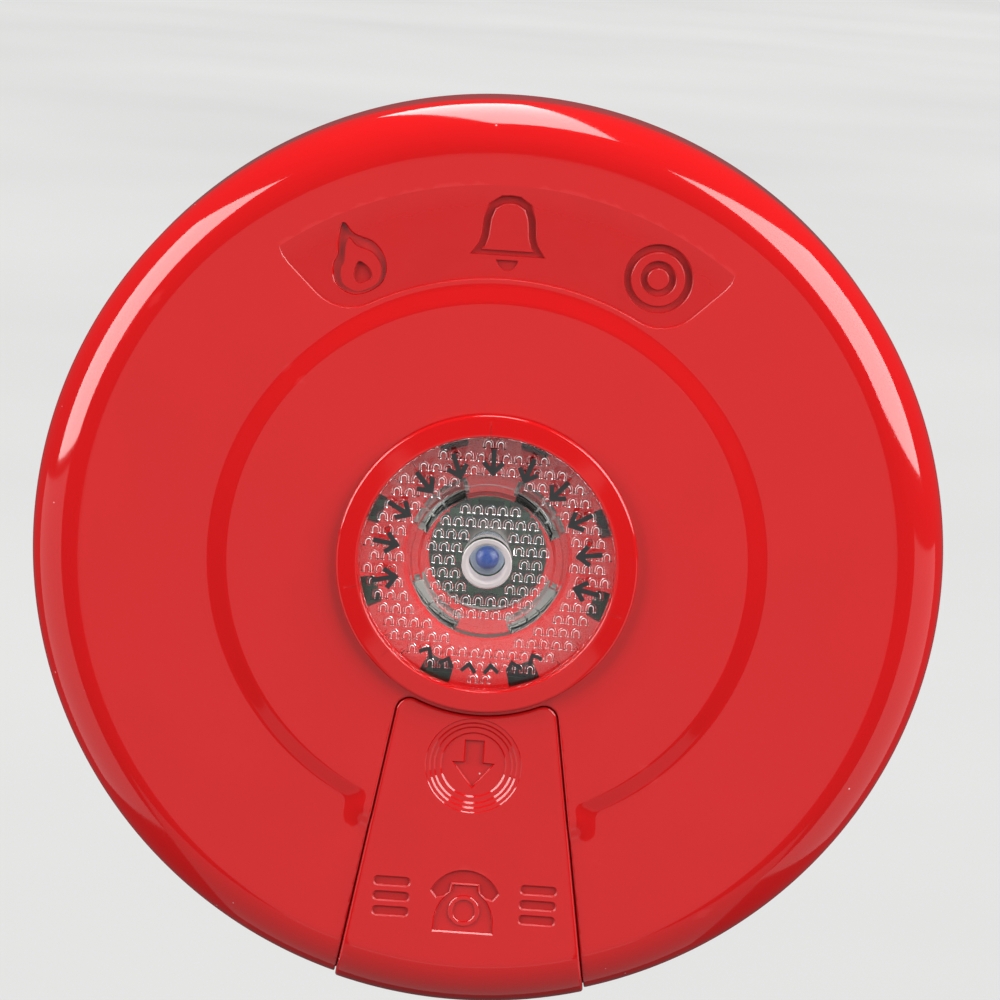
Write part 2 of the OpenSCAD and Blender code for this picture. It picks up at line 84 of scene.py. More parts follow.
COVER_R = node_box("front_cover")[0][1]
PLATEAU_Z = node_box("front_cover")[2][1]
LIP_Z = PLATEAU_Z - 0.3
BEZEL_R = node_box("button_bezel")[0][1]
BEZEL_Z = node_box("button_bezel")[2][1]
PLATE_Z = node_box("press_plate")[2][1]
PLATE_UNDER_Z = PLATE_Z - 2.6
FLANGE_R = node_box("press_plate")[0][1]
HATCH_Z = node_box("phone_cover")[2][1]
LAMP_Z = node_box("led")[2][1]
BOARD_Z = node_box("circuit_board")[2][1]
BACK_Z = node_box("back_housing")[2][0]
HOUSING_R = node_box("back_housing")[0][1]
FACE_Z = 18


# Drawing helpers

def row(x, y, z):
    """A point of the maker's drawing, in the shared frame."""
    return (x * MM, -z * MM, y * MM)


def polar(r, a):
    return (r * math.cos(math.radians(a)), r * math.sin(math.radians(a)))


def steps(low, high, count):
    """Evenly spaced values from low to high, both kept."""
    return [low + (high - low) * i / count for i in range(count + 1)]


def arc(centre, r, start, end, count):
    return [(centre[0] + x, centre[1] + y) for x, y in (polar(r, a) for a in steps(start, end, count))]


def circle(centre, r, count=48):
    return arc(centre, r, 0, 360, count)[:-1]


def ease(t):
    """0 to 1 with a smooth start and end."""
    t = min(max(t, 0), 1)
    return t * t * (3 - 2 * t)


def ramp(t, ends=0.25):
    """0 to 1 in a straight line with short rounded ends."""
    t = min(max(t, 0), 1)
    if t > 0.5:
        return 1 - ramp(1 - t, ends)
    top = 1 / (1 - ends)
    return top * t * t / (2 * ends) if t < ends else top * (t - ends / 2)


def curve_through(points, count=8):
    """A closed smooth curve through a few points."""
    result = []
    n = len(points)
    for i in range(n):
        p = [points[(i + k - 1) % n] for k in range(4)]
        for j in range(count):
            t = j / count
            result.append(tuple(
                0.5 * (2 * b + (c - a) * t + (2 * a - 5 * b + 4 * c - d) * t**2
                       + (3 * b - a - 3 * c + d) * t**3)
                for a, b, c, d in zip(*p)))
    return result


def area(outline):
    return sum(a[0] * b[1] - b[0] * a[1] for a, b in zip(outline, outline[1:] + outline[:1])) / 2


def grown(outline, d):
    """A closed outline moved outwards by d, with mitred corners."""
    turn = 1 if area(outline) > 0 else -1
    result = []
    n = len(outline)
    for i in range(n):
        before, here, after = (Vector(outline[(i + k) % n]) for k in (-1, 0, 1))
        first = (here - before).normalized()
        second = (after - here).normalized()
        normals = [Vector((v.y, -v.x)) * turn for v in (first, second)]
        mitre = normals[0] + normals[1]
        scale = 2 / max(mitre.length_squared, 1.0)
        result.append(tuple(here + mitre * scale * d))
    return result


def turned(outline, angle, shift=(0, 0)):
    """An outline turned about the origin, in degrees, and then moved."""
    c, s = polar(1, angle)
    return [(x * c - y * s + shift[0], x * s + y * c + shift[1]) for x, y in outline]


def mirrored(points):
    """A right half, from top to bottom, closed by its left half."""
    return list(points) + [(-x, y) for x, y in reversed(points) if abs(x) > 1e-6]


def box_outline(low, high, corner=0.0, count=4):
    """A rectangle between two corners, rounded."""
    if corner == 0:
        return [low, (high[0], low[1]), high, (low[0], high[1])]
    result = []
    for x, y, start in (
        (high[0] - corner, low[1] + corner, -90),
        (high[0] - corner, high[1] - corner, 0),
        (low[0] + corner, high[1] - corner, 90),
        (low[0] + corner, low[1] + corner, 180),
    ):
        result += arc((x, y), corner, start, start + 90, count)
    return result


def sector_outline(r_in, r_out, middle, half, corner, count=40, bend=6):
    """A part of a ring with rounded corners; corner is the radius of each."""
    out_turn = math.degrees(math.asin(corner / (r_out - corner)))
    in_turn = math.degrees(math.asin(corner / (r_in + corner)))
    result = arc((0, 0), r_out, middle - half + out_turn, middle + half - out_turn, count)
    result += arc(polar(r_out - corner, middle + half - out_turn), corner,
                  middle + half - out_turn, middle + half + 90, bend)[1:]
    result += arc(polar(r_in + corner, middle + half - in_turn), corner,
                  middle + half + 90, middle + half - in_turn + 180, bend)
    result += arc((0, 0), r_in, middle + half - in_turn, middle - half + in_turn, count)[1:-1]
    result += arc(polar(r_in + corner, middle - half + in_turn), corner,
                  middle - half + in_turn + 180, middle - half + 270, bend)
    result += arc(polar(r_out - corner, middle - half + out_turn), corner,
                  middle - half - 90, middle - half + out_turn, bend)[:-1]
    return result


# Mesh helpers

def make(name, points, faces):
    """A closed mesh from drawing points, with its faces turned outwards."""
    mesh = bpy.data.meshes.new(name)
    mesh.from_pydata([row(*p) for p in points], [], faces)
    bm = bmesh.new()
    bm.from_mesh(mesh)
    bmesh.ops.recalc_face_normals(bm, faces=bm.faces)
    bm.to_mesh(mesh)
    bm.free()
    obj = bpy.data.objects.new(name, mesh)
    bpy.context.scene.collection.objects.link(obj)
    return obj


def ring_faces(loops, closed):
    """Quads between loops of equal length, given as lists of point numbers."""
    pairs = list(zip(loops, loops[1:] + loops[:1])) if closed else list(zip(loops, loops[1:]))
    faces = []
    for a, b in pairs:
        for i in range(len(a)):
            j = (i + 1) % len(a)
            faces.append((a[i], a[j], b[j], b[i]))
    return faces


def loft(name, loops, closed=False):
    """A solid through loops of points: capped at both ends, or closed on itself."""
    n = len(loops[0])
    numbers = [list(range(k * n, k * n + n)) for k in range(len(loops))]
    faces = ring_faces(numbers, closed)
    if not closed:
        faces += [tuple(numbers[0]), tuple(numbers[-1])]
    return make(name, [p for loop in loops for p in loop], faces)


def prism(name, outline, levels):
    """An outline carried through levels of (height, growth)."""
    return loft(name, [[(x, y, z) for x, y in (grown(outline, g) if g else outline)] for z, g in levels])


def band(name, outline, width, levels):
    """A closed stroke along an outline, carried through levels of (height, growth)."""
    outer = [[(x, y, z) for x, y in grown(outline, width / 2 + g)] for z, g in levels]
    inner = [[(x, y, z) for x, y in grown(outline, -width / 2 - g)] for z, g in levels]
    return loft(name, outer + inner[::-1], closed=True)


def lathe(name, profile, columns=180, lift=None, centre=(0, 0)):
    """A closed (radius, height) profile turned about z; a profile point on the axis becomes a pole."""
    angles = columns if isinstance(columns, list) else steps(0, 360, columns)[:-1]
    points = []
    loops = []
    for r, z in profile:
        if r == 0:
            loops.append([len(points)] * len(angles))
            points.append((centre[0], centre[1], z))
            continue
        loops.append(list(range(len(points), len(points) + len(angles))))
        for a in angles:
            x, y = polar(r, a)
            points.append((centre[0] + x, centre[1] + y, z + (lift(r, a, z) if lift else 0)))
    on_axis = profile[0][0] == 0
    faces = []
    for quad in ring_faces(loops, closed=not on_axis):
        corners = tuple(dict.fromkeys(quad))
        if len(corners) > 2:
            faces.append(corners)
    return make(name, points, faces)


def disc(name, centre, r, low, high, columns=48):
    return prism(name, circle(centre, r, columns), [(low, 0), (high, 0)])


def together(name, pieces):
    """Several solids that don't touch, as one mesh."""
    bm = bmesh.new()
    for piece in pieces:
        bm.from_mesh(piece.data)
        bpy.data.objects.remove(piece)
    mesh = bpy.data.meshes.new(name)
    bm.to_mesh(mesh)
    bm.free()
    obj = bpy.data.objects.new(name, mesh)
    bpy.context.scene.collection.objects.link(obj)
    return obj


def combine(piece, tool, operation="DIFFERENCE"):
    """Cuts, joins or intersects piece with tool, which is used up."""
    modifier = piece.modifiers.new("combine", "BOOLEAN")
    modifier.object = tool
    modifier.operation = operation
    modifier.solver = "MANIFOLD"
    if tool.data.materials:
        modifier.material_mode = "TRANSFER"
    bpy.context.view_layer.update()
    graph = bpy.context.evaluated_depsgraph_get()
    mesh = bpy.data.meshes.new_from_object(piece.evaluated_get(graph), depsgraph=graph)
    if not mesh.polygons:
        raise RuntimeError(f"{piece.name}: nothing is left after {operation} with {tool.name}")
    piece.modifiers.remove(modifier)
    piece.data = mesh
    bpy.data.objects.remove(tool)
    return piece


def settle_finishes(mesh, material):
    """Drops empty material slots, which booleans leave behind; their faces take the first finish."""
    old = list(mesh.materials)
    kept = [m for m in old if m] or [material]
    place = [kept.index(m) if m else 0 for m in old]
    faces = [place[f.material_index] if 0 <= f.material_index < len(place) else 0 for f in mesh.polygons]
    mesh.materials.clear()
    for m in kept:
        mesh.materials.append(m)
    mesh.polygons.foreach_set("material_index", faces)


def complete(piece, body, material=None, nodes=()):
    """Shades a finished piece, and puts it on its body in place of its nodes."""
    mesh = piece.data
    mesh.name = piece.name
    settle_finishes(mesh, material)
    mesh.shade_smooth()
    mesh.set_sharp_from_angle(angle=SMOOTH_ANGLE)
    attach(piece, body)
    if nodes:
        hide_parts(*nodes)
    return piece


# Materials

class Shader:
    """A material's nodes, with a short way to add and join them."""

    def __init__(self, name):
        self.material = bpy.data.materials.get(name) or bpy.data.materials.new(name)
        self.material.use_nodes = True
        self.tree = self.material.node_tree
        self.tree.nodes.clear()
        self.output = self.add("ShaderNodeOutputMaterial")
        self.surface = self.add("ShaderNodeBsdfPrincipled")
        self.join(self.surface, "BSDF", self.output, "Surface")
        self.place = self.add("ShaderNodeTexCoord")

    def add(self, kind, **settings):
        node = self.tree.nodes.new(kind)
        for key, value in settings.items():
            if key in node.inputs:
                node.inputs[key].default_value = value
            else:
                setattr(node, key, value)
        return node

    def join(self, source, out, target, socket):
        self.tree.links.new(source.outputs[out], target.inputs[socket])

    def noise(self, size, detail=3.0, stretch=(1, 1, 1)):
        """Noise whose features are about size millimetres wide."""
        mapping = self.add("ShaderNodeMapping")
        mapping.inputs["Scale"].default_value = [s / (size * MM) for s in stretch]
        self.join(self.place, "Object", mapping, "Vector")
        node = self.add("ShaderNodeTexNoise", Scale=1.0, Detail=detail)
        self.join(mapping, "Vector", node, "Vector")
        return node

    def between(self, source, out, low, high, from_low=0.3, from_high=0.7):
        """A value range made from another one."""
        node = self.add("ShaderNodeMapRange")
        for key, value in (("From Min", from_low), ("From Max", from_high), ("To Min", low),
                           ("To Max", high)):
            node.inputs[key].default_value = value
        self.join(source, out, node, "Value")
        return node

    def mix(self, source, out, first, second):
        """Two colours mixed by a value."""
        node = self.add("ShaderNodeMix", data_type="RGBA")
        node.inputs[6].default_value = (*first, 1)
        node.inputs[7].default_value = (*second, 1)
        self.join(source, out, node, "Factor")
        return node

    def specks(self, cell, r, share):
        """1 on sparse round specks of radius r, at most one in a cell of so many millimetres."""
        mapping = self.add("ShaderNodeMapping")
        mapping.inputs["Scale"].default_value = [1 / (cell * MM)] * 3
        self.join(self.place, "Object", mapping, "Vector")
        cells = self.add("ShaderNodeTexVoronoi", Scale=1.0)
        self.join(mapping, "Vector", cells, "Vector")
        dots = self.between(cells, "Distance", 1, 0, r / cell, 1.5 * r / cell)
        picked = self.between(cells, "Color", 0, 1, 1 - share, 1.02 - share)
        both = self.add("ShaderNodeMath", operation="MULTIPLY")
        self.join(dots, "Result", both, 0)
        self.join(picked, "Result", both, 1)
        return both

    def from_centre(self, near, far):
        """0 within near millimetres of the object's axis, 1 beyond far."""
        flat = self.add("ShaderNodeVectorMath", operation="MULTIPLY")
        flat.inputs[1].default_value = (1, 0, 1)
        self.join(self.place, "Object", flat, 0)
        length = self.add("ShaderNodeVectorMath", operation="LENGTH")
        self.join(flat, "Vector", length, 0)
        return self.between(length, "Value", 0, 1, near * MM, far * MM)

    def bump(self, source, out, depth, strength=1.0, under=None):
        """Relief whose full height is depth millimetres."""
        node = self.add("ShaderNodeBump", Strength=strength, Distance=depth * MM)
        self.join(source, out, node, "Height")
        if under:
            self.join(under, "Normal", node, "Normal")
        self.join(node, "Normal", self.surface, "Normal")
        return node


def finish(name, colour, rough=(0.3, 0.4), metallic=0.0, ior=1.5, mottle=0.06, mottle_size=9.0,
           grain=0.35, grain_depth=0.01, stretch=(1, 1, 1), wear=0.0, dust=0.0, fade=None, **extra):
    """A plain moulded, turned or plated surface: mottled colour, uneven gloss and fine grain.

    fade is (near, far, roughness): beyond near millimetres from the axis the finish turns into that
    of the glossy shell.
    """
    shader = Shader(name)
    surface = shader.surface
    surface.inputs["Metallic"].default_value = metallic
    surface.inputs["IOR"].default_value = ior
    for key, value in extra.items():
        surface.inputs[key.replace("_", " ")].default_value = value
    patches = shader.noise(mottle_size, 4)
    tint = shader.mix(patches, "Fac", [c * (1 - mottle) for c in colour],
                      [min(c * (1 + mottle), 1) for c in colour])
    if wear:
        edge = shader.add("ShaderNodeNewGeometry")
        worn = shader.between(edge, "Pointiness", 0, wear, 0.52, 0.62)
        rubbed = shader.add("ShaderNodeMix", data_type="RGBA")
        rubbed.inputs[7].default_value = (*[min(c * 1.3 + 0.05, 1) for c in colour], 1)
        shader.join(worn, "Result", rubbed, "Factor")
        shader.join(tint, 2, rubbed, 6)
        tint = rubbed
    if dust:
        dusty = shader.add("ShaderNodeMix", data_type="RGBA")
        dusty.inputs[7].default_value = (*[c + (0.8 - c) * 0.4 for c in colour], 1)
        shader.join(shader.specks(2.4, 0.1, dust), "Value", dusty, "Factor")
        shader.join(tint, 2, dusty, 6)
        tint = dusty
    shader.join(tint, 2, surface, "Base Color")
    gloss = shader.between(shader.noise(mottle_size * 0.4, 5), "Fac", *rough)
    if fade:
        near, far, smooth = fade
        mixed = shader.add("ShaderNodeMix", data_type="FLOAT")
        shader.join(shader.from_centre(near, far), "Result", mixed, 0)
        shader.join(gloss, "Result", mixed, 2)
        mixed.inputs[3].default_value = smooth
        shader.join(mixed, 0, surface, "Roughness")
    else:
        shader.join(gloss, "Result", surface, "Roughness")
    fine = shader.noise(grain, 2, stretch)
    shader.bump(fine, "Fac", grain_depth)
    return shader.material


def linear(colour):
    return list(colour)[:3]


def red_gloss(settings):
    """Glossy moulded red plastic, with a slight ripple from the mould and a film of fine dust."""
    return finish("glossy red plastic", linear(settings.shell_red), rough=(0.05, 0.08), ior=1.5, mottle=0.04,
                  mottle_size=14, grain=5.0, grain_depth=0.005, wear=0.12, dust=0.3)


def shaded_red_grained(settings):
    """The recessed panel's spark-eroded red plastic, which fades into the glossy face outside; its base
    colour is darkened a little as painted shade for the sheen the grain takes away.
    """
    # Painted shade: the base colour is 0.93 of the shell red, so the grained panel reads darker than the
    # glossy face.
    return finish("grained red plastic with painted shade", [c * 0.93 for c in linear(settings.shell_red)], rough=(0.3, 0.38),
                  ior=1.5, mottle=0.05, mottle_size=6, grain=0.3, grain_depth=0.008, fade=(49.5, 53.4, 0.07))


def shaded_red_recess(settings):
    """The dull floors of the sunk pictograms, whose base colour is darkened as painted shade in the recesses.
    """
    # Painted shade: the base colour is 0.84 of the shell red, so the sunk floors read darker.
    return finish("dull red plastic with painted shade", [c * 0.84 for c in linear(settings.shell_red)], rough=(0.34, 0.46),
                  ior=1.5, mottle=0.08, mottle_size=3, grain=0.22, grain_depth=0.02)


# Settings

class CoverSettings(bpy.types.PropertyGroup):
    """Sizes of the front cover, in millimetres."""
    plateau_r: bpy.props.FloatProperty(name="Plateau radius", description="Radius of the raised field",
                                       default=39.7)
    plateau_h: bpy.props.FloatProperty(
        name="Plateau height", description="Height of the raised field", default=PLATEAU_Z - FACE_Z, min=0.2,
        max=1.5)
    shoulder: bpy.props.FloatProperty(
        name="Shoulder", description="Width of the raised field's sloping edge", default=3.0, min=0.5, max=4)
    panel_deep: bpy.props.FloatProperty(
        name="Panel depth inside", description="Depth of the name panel at its inner edge", default=0.6)
    panel_end: bpy.props.FloatProperty(
        name="Panel end", description="Radius at which the name panel runs out into the face", default=53.4)
    sign_r: bpy.props.FloatProperty(
        name="Sign radius", description="Distance of the pictograms from the centre", default=46.8)
    sign_turn: bpy.props.FloatProperty(
        name="Sign spacing", description="Angle between two pictograms, in degrees", default=27)


class HatchSettings(bpy.types.PropertyGroup):
    """Sizes of the telephone cover, in millimetres."""
    edge_round: bpy.props.FloatProperty(
        name="Edge round", description="Radius of the cover's outer edges", default=0.35, min=0.2, max=0.8)
    emblem_y: bpy.props.FloatProperty(name="Emblem height", description="Place of the stepped dish",
                                      default=-29.3)
    phone_y: bpy.props.FloatProperty(name="Telephone height", description="Place of the telephone",
                                     default=-49.1)


class ButtonSettings(bpy.types.PropertyGroup):
    """Sizes of the button, in millimetres."""
    stud_pitch: bpy.props.FloatProperty(
        name="Stud pitch", description="Distance between two prism studs in a row", default=1.85, min=1.7,
        max=3)
    stud_w: bpy.props.FloatProperty(name="Stud width", description="Width of one stud at its foot",
                                    default=1.55)
    stud_l: bpy.props.FloatProperty(name="Stud length", description="Length of one stud at its foot",
                                    default=1.4)
    stud_h: bpy.props.FloatProperty(name="Stud height", description="How far a stud stands proud",
                                    default=0.5)


class ColourSettings(bpy.types.PropertyGroup):
    """Colours of the mouldings."""
    shell_red: bpy.props.FloatVectorProperty(
        name="Shell red", description="Red of the cover", subtype="COLOR", size=3, min=0, max=1,
        default=(0.41, 0.0054, 0.0061))
    ring_red: bpy.props.FloatVectorProperty(
        name="Ring red", description="Red of the raised ring", subtype="COLOR", size=3, min=0, max=1,
        default=(0.42, 0.0050, 0.0056))
    lamp_blue: bpy.props.FloatVectorProperty(
        name="Lamp blue", description="Blue of the response lamp", subtype="COLOR", size=3, min=0, max=1,
        default=(0.003, 0.045, 0.24))
    board_green: bpy.props.FloatVectorProperty(
        name="Board green", description="Green of the circuit board", subtype="COLOR", size=3, min=0, max=1,
        default=(0.02, 0.12, 0.05))


class StageSettings(bpy.types.PropertyGroup):
    """Camera settings of the stage."""
    elevation: bpy.props.FloatProperty(
        name="Elevation", description="Camera's height above the level", subtype="ANGLE",
        default=math.radians(9))
    roll: bpy.props.FloatProperty(
        name="Roll", description="Camera's roll", subtype="ANGLE", default=math.radians(3.87))
    distance: bpy.props.FloatProperty(
        name="Distance", description="Camera's distance", unit="LENGTH", default=0.6)
    lens: bpy.props.FloatProperty(name="Lens", description="Focal length in millimetres", default=153.6)


# Front cover

RIM_ROUND = 7.1
FACE_R = COVER_R - RIM_ROUND
RIM_CENTRE_Z = FACE_Z - RIM_ROUND
WALL = 2.6
WELL_R = 20.4
WELL_FLOOR_Z = 12.4
SUNK_R = 11.4
SUNK_Z = WELL_FLOOR_Z - 2
COLLAR_R = 8.1
FACE_END_R = 54.5
STRIP_ANGLE = math.radians(13)
POST_R = 39
FIXING_R = 53.5
BOARD_SCREW_X = 30
FOOT_X = 10
JACK_Y = -34
PANEL_IN_R = 40.35


def plateau_lift(settings):
    """How far the raised field and its strips lift the face at a place."""
    def lift(r, a, z=FACE_Z):
        if r > FACE_END_R or z < FACE_Z - 0.01:
            return 0
        x, y = polar(r, a)
        round_d = r - settings.plateau_r
        strip_d = 99
        if y < 0:
            strip_d = (abs(x) - 17.8 - (-y - 34.8) * math.tan(STRIP_ANGLE)) * math.cos(STRIP_ANGLE)
        soft = 1.2
        blend = max(soft - abs(round_d - strip_d), 0) / soft
        d = min(round_d, strip_d) - blend * blend * soft / 4
        strips = 1 - 0.8 * ease((r - 39) / 4)
        runout = 1 - ease((r - 45) / 9)
        return settings.plateau_h * ramp(-d / settings.shoulder) * strips * runout
    return lift


def cover_profile(settings):
    """The cover's section, once round: well, face, rim, side, back and inside."""
    edge = settings.plateau_r - settings.shoulder
    profile = [(COLLAR_R, SUNK_Z - 2), (COLLAR_R, SUNK_Z - 0.3), (COLLAR_R + 0.3, SUNK_Z),
               (SUNK_R - 0.3, SUNK_Z), (SUNK_R, SUNK_Z + 0.3), (SUNK_R, WELL_FLOOR_Z - 0.3),
               (SUNK_R + 0.3, WELL_FLOOR_Z)]
    profile += [(WELL_R - 0.4, WELL_FLOOR_Z), (WELL_R, WELL_FLOOR_Z + 0.4), (WELL_R, FACE_Z - 0.02)]
    profile += [(r, FACE_Z) for r in steps(WELL_R, edge, 14)]
    profile += [(r, FACE_Z) for r in steps(edge, settings.plateau_r, 16)][1:]
    profile += [(r, FACE_Z) for r in steps(settings.plateau_r, FACE_END_R, 40)][1:]
    profile += [(r, FACE_Z) for r in steps(FACE_END_R, FACE_R, 5)][1:]
    profile += arc((FACE_R, RIM_CENTRE_Z), RIM_ROUND, 90, 0, 36)[1:]
    profile += [(COVER_R, z) for z in (8, 5, 2.5, 0.5)]
    profile += arc((COVER_R - 0.5, 0.5), 0.5, 0, -90, 4)[1:]
    profile += [(63.2, 0), (63.2, 1.6), (60.6, 1.6), (60.6, 0), (59.8, 0), (59.8, 4), (COVER_R - WALL, 4)]
    profile += arc((FACE_R, RIM_CENTRE_Z), RIM_ROUND - WALL, 0, 90, 12)
    profile += [(r, FACE_Z - WALL) for r in (50, 42, 34, 26)]
    profile += [(WELL_R + 2.2, FACE_Z - WALL), (WELL_R + 2.2, SUNK_Z), (SUNK_R + 2, SUNK_Z),
                (SUNK_R + 2, SUNK_Z - 2)]
    return profile


def cover_angles():
    """Columns of the cover: closer together beside the telephone cover."""
    return steps(-60, 240, 300)[:-1] + steps(240, 300, 140)[:-1]


HATCH_SLOPE = math.radians(9.1)
HATCH_K = 7.8446
HATCH_TOP_R = 22.1
HATCH_END_Z = 4.9
HATCH_BEND = 1.9
HATCH_PROUD = 0.5


def tapered(name, levels, lift=None, columns=24):
    """A solid with the telephone cover's outline.

    levels are (inset of the edge, height over the front cover's surface), from the outside in. Where
    lift is given, each level but the last also follows the raised field.
    """
    bend_r = HATCH_TOP_R + HATCH_BEND
    bend_turn = HATCH_SLOPE + math.asin((HATCH_K - HATCH_BEND) / bend_r)
    bend_x, bend_y = bend_r * math.sin(bend_turn), -bend_r * math.cos(bend_turn)

    def rows(inset, height):
        r = HATCH_TOP_R + inset
        result = [(r, FACE_Z + height, bend_turn)]
        for t in steps(math.pi / 2 + bend_turn, HATCH_SLOPE, 8)[1:]:
            x = bend_x + (HATCH_BEND - inset) * math.cos(t)
            y = bend_y + (HATCH_BEND - inset) * math.sin(t)
            result.append((math.hypot(x, y), FACE_Z + height, math.atan2(x, -y)))
        for r in steps(result[-1][0], FACE_R, 44)[1:]:
            result.append((r, FACE_Z + height, None))
        for t in steps(math.pi / 2, 0, 30)[1:]:
            reach = RIM_ROUND + height
            result.append((FACE_R + reach * math.cos(t), RIM_CENTRE_Z + reach * math.sin(t), None))
        for z in steps(RIM_CENTRE_Z, HATCH_END_Z + inset, 3)[1:]:
            result.append((COVER_R + height, z, None))
        return [(r, z, HATCH_SLOPE + math.asin((HATCH_K - inset) / r) if turn is None else turn)
                for r, z, turn in result]

    def point(r, z, turn, column, follow):
        a = math.radians(-90) + turn * (2 * column / columns - 1)
        lifted = lift(r, math.degrees(a)) if follow and r < FACE_R else 0
        return (r * math.cos(a), r * math.sin(a), z + lifted)

    points = []
    loops = []
    faces = []
    for number, (inset, height) in enumerate(levels):
        lines = rows(inset, height)
        last = len(lines) - 1
        follow = lift is not None and number < len(levels) - 1
        edge = ([(0, c) for c in range(columns + 1)] + [(k, columns) for k in range(1, last + 1)]
                + [(last, c) for c in range(columns - 1, -1, -1)] + [(k, 0) for k in range(last - 1, 0, -1)])
        whole = number in (0, len(levels) - 1)
        wanted = [(k, c) for k in range(last + 1) for c in range(columns + 1)] if whole else edge
        numbers = {}
        for k, c in wanted:
            numbers[k, c] = len(points)
            points.append(point(*lines[k], c, follow))
        loops.append([numbers[place] for place in edge])
        if whole:
            for k in range(last):
                for c in range(columns):
                    faces.append(tuple(numbers[p] for p in ((k, c), (k, c + 1), (k + 1, c + 1), (k + 1, c))))
    faces += ring_faces(loops, closed=False)
    return make(name, points, faces)


def rounded_edge(r, inset=0.0, top=0.0, count=5):
    """Levels of a rounded outer edge, from the flat outwards and down."""
    return [(inset + r * (1 - math.sin(t)), top - r * (1 - math.cos(t)))
            for t in steps(0, math.pi / 2, count)]


def sign_levels(floor, top, draft=0.12):
    return [(floor - draft, -draft * 0.6), (floor, 0), (top - 0.1, 0.05), (top, 0.16), (top + 0.6, 0.3)]


def flame_sign(place, floor, top):
    """A flame with a hollow, and a drop in it."""
    outer = curve_through([(0.5, 5.2), (1.3, 3.2), (3.4, 0.9), (3.8, -2.2), (1.9, -4.7), (-1.9, -4.7),
                           (-3.8, -2.3), (-3.2, 0.3), (-1.9, 1.6), (-0.9, 3.6)])
    hollow = [(0.76 * x, 0.74 * y - 0.85) for x, y in outer]
    drop = curve_through([(0.3, -0.6), (1.3, -2.1), (1.0, -3.4), (-0.8, -3.4), (-1.2, -2.2)])
    flame = prism("sign", place(outer), sign_levels(floor, top))
    combine(flame, prism("hollow", place(hollow), [(floor - 2, 0), (top + 2, 0)]))
    return [flame, prism("sign", place(drop), sign_levels(floor, top))]


def bell_sign(place, floor, top):
    """A bell with its clapper."""
    half = [(0, 4.6), (1.1, 4.5), (2.5, 3.6), (3.1, 1.9), (3.3, -0.6), (3.7, -1.9), (4.5, -2.9), (0, -2.9)]
    body = mirrored(half[:-1])
    clapper = arc((0, -3.9), 1.5, 180, 360, 12)
    return [band("sign", place(body[::-1]), 0.95, sign_levels(floor, top)),
            prism("sign", place(clapper), sign_levels(floor, top))]


def press_sign(place, floor, top):
    """A target with a finger mark in its middle."""
    return [band("sign", place(circle((0, 0), 4.3, 56)), 0.95, sign_levels(floor, top)),
            band("sign", place(circle((0, 0), 2.0, 40)), 0.9, sign_levels(floor, top))]


